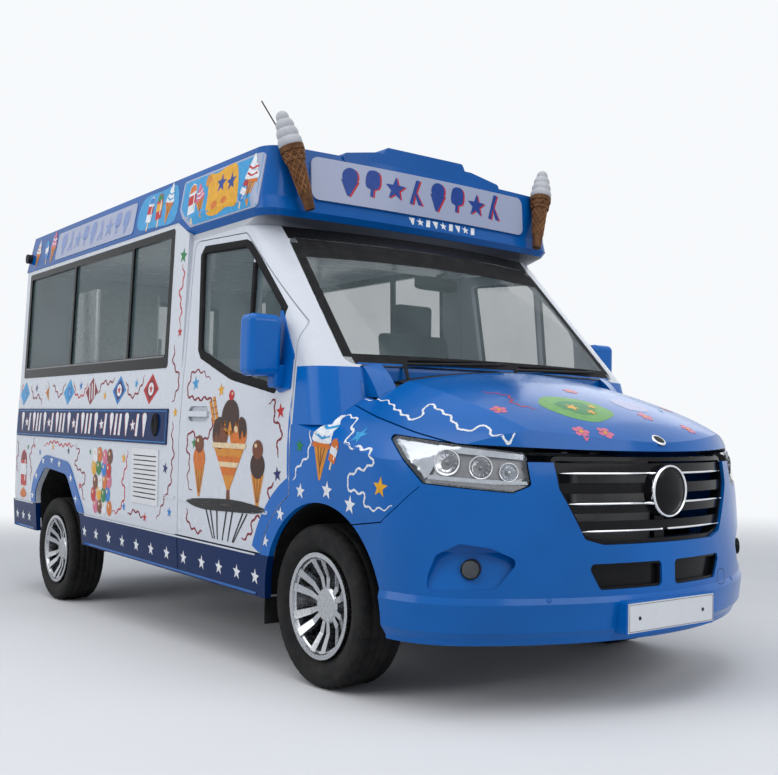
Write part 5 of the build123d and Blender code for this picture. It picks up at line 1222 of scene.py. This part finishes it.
def tyre_and_cap(side_name, side, axle):
    """One tyre with tread blocks and sidewall lines, and the hub cap, nuts and valve of its rim."""
    name = f"tyre_{axle}_{side_name}"
    body = NODES[name]["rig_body"]
    lo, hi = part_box(f"rim_{axle}_{side_name}")
    centre = (lo + hi) / 2
    lo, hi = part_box(name)
    mid = (lo + hi) / 2
    big = (hi.z - lo.z) / 2
    section = tyre_section((hi.x - lo.x) / 2, big)
    verts, faces, n = [], [], len(section)
    for k, angle in enumerate(angles(TYRE_TURNS)):
        c, s = math.cos(angle), math.sin(angle)
        for x, r in section:
            rr = r - tread_depth(x, r, big, k)
            verts.append(Vector((mid.x + x, mid.y + c * rr, mid.z + s * rr)))
        a, b = k * n, (k + 1) % TYRE_TURNS * n
        faces += [(a + i, b + i, b + i + 1, a + i + 1) for i in range(n - 1)]
        faces.append((a + n - 1, b + n - 1, b, a))
    tyre = Kit().add(verts, faces, "tyre_rubber").make(f"tread_{axle}_{side_name}", body, "tyre_rubber", True)
    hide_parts(name)

    out = Vector((side, 0, 0))
    hub = Vector((side * 0.905, centre.y, centre.z))
    kit = Kit()
    kit.turn("alloy_dark", hub, out, 40, [(0.0, 0.010), (0.012, 0.0098), (0.024, 0.0082), (0.0305, 0.0055),
                                          (0.033, 0.0025), (0.0335, -0.004)])
    kit.turn("alloy", hub, out, 32, [(0.0, 0.0114), (0.016, 0.0108), (0.0205, 0.0094), (0.0215, 0.008)])
    for a in (2 * math.pi * (k + 0.5) / 6 for k in range(6)):
        nut = hub + Vector((0, math.cos(a), math.sin(a))) * 0.056
        kit.turn("alloy_dark", nut, out, 6, [(0.0, 0.0095), (0.006, 0.0090), (0.0088, 0.0066),
                                             (0.0098, -0.004)])
    valve = Vector((side * 0.900, centre.y + 0.196 * math.cos(0.8), centre.z + 0.196 * math.sin(0.8)))
    kit.turn("soft_black", valve, Vector((side, -0.3, -0.3)), 10, [(0.0, 0.030), (0.003, 0.0295),
                                                                   (0.0042, 0.027), (0.0042, 0.010),
                                                                   (0.005, -0.004)])
    kit.make(f"wheel_cap_{axle}_{side_name}", body, "alloy", False)


for side_name, side in SIDES:
    for axle in ("front", "rear"):
        tyre_and_cap(side_name, side, axle)


def screen_band():
    """Black printed border round the windscreen."""
    put = partial(hit_front, tree("windscreen"))
    kit = Kit()

    def edge(z):
        return 852 - (z - 1364) * 56 / 636

    def band(outer, inner):
        """Quads between two rows of (x, z) places."""
        for k in range(len(outer) - 1):
            kit.quad([put(*p, 0.5) for p in (outer[k], outer[k + 1], inner[k + 1], inner[k])], "soft_black")

    def level(z, count=44):
        return [-edge(z) + 2 * edge(z) * k / count for k in range(count + 1)]

    band([(x, 1996) for x in level(1996)], [(x, 1902 - 8 * (x / 800) ** 2) for x in level(1996)])
    band([(x, 1412) for x in level(1370)], [(x, 1368) for x in level(1370)])
    heights = [1370 + 626 * k / 24 for k in range(25)]
    for side in (1, -1):
        band([(side * edge(z), z) for z in heights], [(side * (edge(z) - 44), z) for z in heights])
    kit.make("windscreen_border", "body", "black_frame")


def wiper_blades():
    """The blades on the wiper arms, and their rubbers."""
    put = partial(hit_front, tree("windscreen"))
    kit = Kit()
    for start, end in ((-560, -70), (60, 636)):
        path = [put(start + (end - start) * k / 21, 1386 + 12 * k / 21, 9) for k in range(22)]
        path = [p for p in path if p is not None]
        kit.add(*tube(path, lambda t: 0.0075 * min(1, 0.45 + 5 * t, 0.45 + 5 * (1 - t)), 8), "soft_black")
        kit.add(*tube([p - UP * 0.004 + BACK * 0.005 for p in path], 0.004, 6), "black_plastic")
    kit.make("wiper_blades", "body", "black_plastic", True)


def cabin_mirror():
    """The mirror behind the windscreen, on its stalk."""
    kit = Kit()
    spot = hit_front(tree("windscreen"), 30, 1890, 0)
    back = spot + BACK * 0.085 - UP * 0.03
    kit.add(*tube([spot + way(0, 1, -0.4) * 0.012, back + UP * 0.02, back], 0.009, 12), "soft_black")
    shell = [(-120, 30), (0, 36), (120, 30), (134, 0), (120, -30), (0, -34), (-120, -30), (-134, 0)]
    shell = smooth_outline(shell, 4)
    ring = [back + LEFT * a / 1000 + UP * (b - 20) / 1000 for a, b in shell]
    kit.add(*slab(ring, BACK, 0.022), "soft_black")
    face = [back + BACK * 0.0228 + LEFT * a * 0.92 / 1000 + UP * (b * 0.88 - 20) / 1000 for a, b in shell]
    kit.add(face, [range(len(face))], "mirror_glass")
    kit.make("cabin_mirror", "body", "black_plastic", True)


def wafer_lattice(side_name, side):
    """The raised lattice on one cone."""
    cones = tree("cone_wafers")
    top, foot = at(side * 877, 562, 2587), at(side * 752, 474, 2118)
    axis = (foot - top).normalized()
    u = axis.cross(Vector((0, 1, 0))).normalized()
    v = axis.cross(u).normalized()
    length = (foot - top).length

    def on_cone(t, angle, lift):
        out = u * math.cos(angle) + v * math.sin(angle)
        spot = cones.ray_cast(top + axis * length * t + out * 0.25, -out, 0.25)[0]
        return None if spot is None else spot + out * lift

    kit = Kit()
    for turn in (1, -1):
        for start in angles(9):
            path = [on_cone(0.42 + 0.42 * k / 25, start + turn * 1.15 * math.pi * k / 25, 0.0006)
                    for k in range(26)]
            path = [p for p in path if p is not None]
            if len(path) > 8:
                kit.add(*tube(path, 0.0022, 5, False), "wafer_rib")
    kit.make(f"wafer_lattice_{side_name}", "body", "wafer_brown", True)


screen_band()
wiper_blades()
cabin_mirror()
both_sides(wafer_lattice)


def many(points, step):
    """A line of points cut into steps of about the given length."""
    out = []
    for (a, b), (c, d) in zip(points, points[1:]):
        n = max(1, int(math.hypot(c - a, d - b) / step))
        out += [(a + (c - a) * t / n, b + (d - b) * t / n) for t in range(n)]
    return out + [points[-1]]


def strip_along(kit, surface, side, ends, z, step, width, thick, look):
    """A level moulding along a side: its ends, height, width up the wall and thickness, in millimetres."""
    profile = ((-0.5, 0.1), (-0.42, 0.75), (-0.18, 1.0), (0.18, 1.0), (0.42, 0.75), (0.5, 0.1))
    rows = [[hit_side(surface, side, y, z + width * share, thick * rise) for share, rise in profile]
            for y, _ in many([(end, z) for end in ends], step)]
    rows = [row for row in rows if all(p is not None for p in row)]
    kit.add(*sheet_of(rows, caps=True), look)


def rounded_line(points, radius):
    """A closed outline with rounded corners, as a dense line."""
    n, out = len(points), []
    for i in range(n):
        p, a, b = Vector(points[i]), Vector(points[i - 1]), Vector(points[(i + 1) % n])
        start, end = p + (a - p).normalized() * radius, p + (b - p).normalized() * radius
        for t in (k / 6 for k in range(7)):
            out.append(tuple(start * (1 - t) ** 2 + p * 2 * t * (1 - t) + end * t * t))
    return many(out + out[:1], 30)


def door_seal(side_name, side):
    """The rubber round the door's window and the cover of its divider."""
    door, panes = tree(f"door_panel_{side_name}"), tree(f"door_glass_{side_name}")
    line = rounded_line([(1198, 1984), (720, 1958), (350, 1640), (338, 1262), (770, 1336), (1130, 1456)], 26)
    # Reach out from the window's edge and lift off the panel or the pane, in millimetres
    profile = ((door, 30, 0.3), (door, 27, 2.6), (door, 9, 3.4), (door, 1, 3.4),
               (panes, -4, 15.2), (panes, -9, 13.5), (panes, -11, 0.2))
    rows = []
    for i, (y, z) in enumerate(line):
        y0, z0 = line[i - 1] if i else line[-2]
        y1, z1 = line[i + 1] if i + 1 < len(line) else line[1]
        run = Vector((y1 - y0, z1 - z0)).normalized()
        out = Vector((run.y, -run.x))
        if out.dot(Vector((y - 760, z - 1640))) < 0:
            out = -out
        row = [hit_side(surface, side, y + out.x * reach, z + out.y * reach, rise)
               for surface, reach, rise in profile]
        if all(p is not None for p in row):
            rows.append(row)
    kit = Kit().add(*sheet_of(rows), "soft_black")
    rows = []
    for y, z in many([(613, 1318), (643, 1948)], 40):
        front, rear = (hit_side(door, side, y + reach, z, 3.4) for reach in (-5, 5))
        ends = [hit_side(panes, side, y + reach, z, 0.2) for reach in (-12, 12)]
        if all(p is not None for p in (front, rear, *ends)):
            rows.append([ends[0], front - BACK * 0.007, front, rear, rear + BACK * 0.007, ends[1]])
    kit.add(*sheet_of(rows), "soft_black")
    kit.make(f"door_window_seal_{side_name}", f"door_{side_name}", "black_plastic", True)


def side_mouldings(side_name, side):
    """Skirt lip and foot strip, the door's window seal and the serving window's track."""
    kit, skirt = Kit(), tree("skirts")
    for ends in ((480, 2640), (3640, 4060)):
        strip_along(kit, skirt, side, ends, 503, 90, 9, 3, "white_paint")
        strip_along(kit, skirt, side, ends, 327, 90, 12, 3, "blue_paint")
    kit.make(f"skirt_lips_{side_name}", "body", "white_paint", True)
    door_seal(side_name, side)
    kit = Kit()
    strip_along(kit, tree("window_frames"), side, (1560, 3940), 1452, 120, 10, 2.0, "alloy_dark")
    kit.make(f"window_track_{side_name}", "body", "black_frame", True)


def mirror_face(side_name, side):
    """The glass of one door mirror."""
    shell = tree(f"mirror_{side_name}")
    kit, grid = Kit(), []
    for i in range(9):
        places = [at(side * (1004 + 148 * i / 8), 700, 1326 + 230 * j / 14) for j in range(15)]
        spots = [shell.ray_cast(place, FORE)[0] for place in places]
        grid.append([None if spot is None else spot + BACK * 0.0012 for spot in spots])
    for i in range(8):
        for j in range(14):
            if i not in (0, 7) or j not in (0, 13):
                kit.quad([grid[i][j], grid[i + 1][j], grid[i + 1][j + 1], grid[i][j + 1]], "mirror_glass")
    kit.make(f"mirror_glass_{side_name}", f"door_{side_name}", None, True)


def bumper_trim():
    """Parking sensors and the line round the towing eye's cover."""
    bumper = tree("front_bumper")
    kit = Kit()
    for x, z in ((-560, 470), (-250, 448), (250, 448), (560, 470)):
        spot, normal = struck(bumper, at(x, AHEAD, z), BACK, 1, -1)
        if spot is not None:
            kit.turn("blue_paint", spot, normal, 24, [(0.0, 0.0012), (0.008, 0.0012), (0.0085, 0.0004),
                                                      (0.0105, 0.0014), (0.0112, 0.0)])
    kit.make("parking_sensors", "body", "blue_paint", True)
    kit = Kit()
    middle = Vector((424, 496))
    cover = [Vector(p) for p in smooth_outline([(392, 470), (392, 520), (452, 522), (460, 472)], 3)]
    rows = []
    for p in cover + cover[:1]:
        away = (p - middle).normalized()
        rows.append([hit_front(bumper, p.x + away.x * grow, p.y + away.y * grow, 0.5) for grow in (0, 2.2)])
    for (a, b), (c, d) in zip(rows, rows[1:]):
        kit.quad([a, c, d, b], "soft_black")
    kit.make("tow_cover_line", "body", "black_plastic")


def rear_art():
    """Stars, streamers and two cones on the rear wall."""
    wall = tree("rear_wall")

    def put(a, b, lift):
        spot = wall.ray_cast(at(a, BEHIND, b), FORE)[0]
        return None if spot is None else spot + BACK * lift / 1000

    pen = Pen(put)
    for k in range(9):
        for z, inks in ((1300, ("red", "blue", "yellow")), (760, ("sky", "green", "maroon"))):
            pen.draw(star(-640 + 160 * k, z, 34, 90 + 12 * (k % 3)), inks[k % 3], 0.8)
    for x, phase in ((-800, 0.4), (800, 1.4)):
        line = [(x, 1950), (x + 30, 1760), (x - 30, 1560), (x + 25, 1360), (x, 1140), (x + 20, 900), (x, 700)]
        pen.stream(line, "maroon", 0.8, 11, 9, 74, phase)
    cone_art(pen, -330, 1060, 330, "white sky", 0.1)
    cone_art(pen, 330, 1060, 330, "pink white", -0.1)
    pen.make("rear_art", "body", "white_paint")


def scuttle():
    """The blue upstand that closes the foot of the windscreen down to the tray under the wipers."""
    sheet, tray = tree("windscreen"), tree("cowl", "dashboard")
    rows = []
    for x in (-812 + 1624 * k / 48 for k in range(49)):
        top = hit_front(sheet, x * 0.985, 1370, 0.4)
        if top is not None:
            near = top - BACK * 0.007
            low, lowest = tray.ray_cast(near + UP * 0.02, DOWN, 0.2)[0], near + DOWN * 0.075
            foot = lowest if low is None or low.z < lowest.z else low
            rows.append([top + UP * 0.002, near - UP * 0.006, near.lerp(foot, 0.5), foot])
    Kit().add(*sheet_of(rows, flip=True), "blue_paint").make("scuttle_upstand", "body", "blue_paint", True)


def cowl_corner(side_name, side):
    """The blue cover that carries the wing line from the bonnet's rear edge up to the windscreen."""
    sheet = tree("windscreen")
    plan = [(698, -159, 1266), (720, -159, 1255), (742, -154, 1244), (764, -154, 1232), (784, -153, 1220),
            (785, -76, 1224), (798, -76, 1224), (812, -76, 1217)]
    steps, bulge = 8, way(0, -0.6, 0.8) * 0.009
    rows = []
    for x, y, z in plan:
        top = sheet.ray_cast(at(side * x, AHEAD, 1371), BACK)[0]
        front = at(side * x, y, z)
        rows.append([front.lerp(top, k / steps) + bulge * math.sin(math.pi * k / steps)
                     for k in range(steps + 1)])
    verts, faces = sheet_of(rows)
    base = len(verts)
    verts += [p - UP * min(0.055, 0.02 + 0.012 * k) for k, p in enumerate(rows[0])]
    faces += [(k, base + k, base + k + 1, k + 1) for k in range(steps)]
    Kit().add(verts, faces, "blue_paint").make(f"cowl_corner_{side_name}", "body", "blue_paint", False)


both_sides(side_mouldings)
both_sides(mirror_face)
bumper_trim()
rear_art()
scuttle()
both_sides(cowl_corner)

# Floor, light and camera
GLOW = (0.93, 0.95, 0.97)
FLOOR_HALF = 60


def stage():
    """A pale floor that fades into the white background far from the van."""
    wires = new_wires("stage_floor")
    pale = wires.ramp(wires.noise(0.6, 3), (0.3, (0.70, 0.705, 0.71)), (0.7, (0.73, 0.735, 0.74)))
    wires.feed(wires.shader, {"Base Color": pale, "Roughness": 0.9})
    x, y = wires.axis(0), wires.axis(1)
    far = wires.calc("SQRT", wires.calc("ADD", wires.calc("MULTIPLY", x, x), wires.calc("MULTIPLY", y, y)))
    fade = wires.ramp(wires.calc("DIVIDE", far, 20.0), (0.22, 0.0), (0.62, 1.0), mode="EASE")
    rays = wires.add("LightPath", {}).outputs
    seen = wires.calc("MAXIMUM", rays["Is Camera Ray"], rays["Is Glossy Ray"])
    seen = wires.calc("MAXIMUM", seen, rays["Is Transmission Ray"])
    glow = wires.add("Emission", {"Color": GLOW})
    share = wires.calc("MULTIPLY", fade, seen)
    blend = wires.add("MixShader", {0: share, 1: wires.shader.outputs[0], 2: glow.outputs[0]})
    wires.feed(wires.tree.nodes["Material Output"], {"Surface": blend.outputs[0]})
    mesh = bpy.data.meshes.new("stage_floor")
    corners = box(-FLOOR_HALF, -FLOOR_HALF, FLOOR_HALF, FLOOR_HALF)
    mesh.from_pydata([(x, y, 0) for x, y in corners], [], [(0, 1, 2, 3)])
    mesh.materials.append(wires.owner)
    floor = bpy.data.objects.new("stage_floor", mesh)
    bpy.context.scene.collection.objects.link(floor)


def studio():
    """A soft bluish light all round; what the camera, glass and gloss see of it is white."""
    world = bpy.data.worlds.new("studio")
    bpy.context.scene.world = world
    wires = Wires(world)
    soft = wires.feed(wires.tree.nodes["Background"], {"Color": (0.80, 0.86, 1.0), "Strength": 0.42})
    white = wires.add("Background", {"Color": GLOW, "Strength": 1.0})
    rays = wires.add("LightPath", {}).outputs
    seen = wires.calc("MAXIMUM", rays["Is Camera Ray"], rays["Is Transmission Ray"])
    seen = wires.calc("MAXIMUM", seen, rays["Is Glossy Ray"])
    swap = wires.add("MixShader", {0: seen, 1: soft.outputs[0], 2: white.outputs[0]})
    wires.feed(wires.tree.nodes["World Output"], {"Surface": swap.outputs[0]})


def lamp(name, place, aim, size, power, colour=(1, 1, 1)):
    """A rectangular soft light."""
    data = bpy.data.lights.new(name, "AREA")
    data.shape = "RECTANGLE"
    data.size, data.size_y = size
    data.energy = power
    data.color = colour
    obj = bpy.data.objects.new(name, data)
    obj.location = place
    obj.rotation_euler = (Vector(aim) - Vector(place)).to_track_quat("-Z", "Y").to_euler()
    bpy.context.scene.collection.objects.link(obj)


stage()
studio()
lamp("soft_top", (-2.5, -2.0, 8.0), (0, 0, 1.0), (9, 9), 430)
lamp("soft_nose", (1.5, -8.5, 4.5), (0, -1, 1.0), (6, 4), 190)
lamp("soft_side", (-8.5, 1.5, 4.5), (0, 0.5, 1.2), (7, 4), 230)
lamp("soft_far", (7.5, 4.0, 6.0), (0, 0, 1.0), (6, 5), 80, (0.95, 0.97, 1.0))

bpy.context.scene.view_settings.view_transform = "Standard"

camera = bpy.data.cameras.new("camera")
camera.sensor_width = 36
camera.lens = 47.25
view = bpy.data.objects.new("camera", camera)
view.location = (-3.3166486, -5.2004299, 0.9798294)
view.rotation_euler = [math.radians(angle) for angle in (93.6862, -0.0099, -36.7739)]
bpy.context.scene.collection.objects.link(view)
bpy.context.scene.camera = view
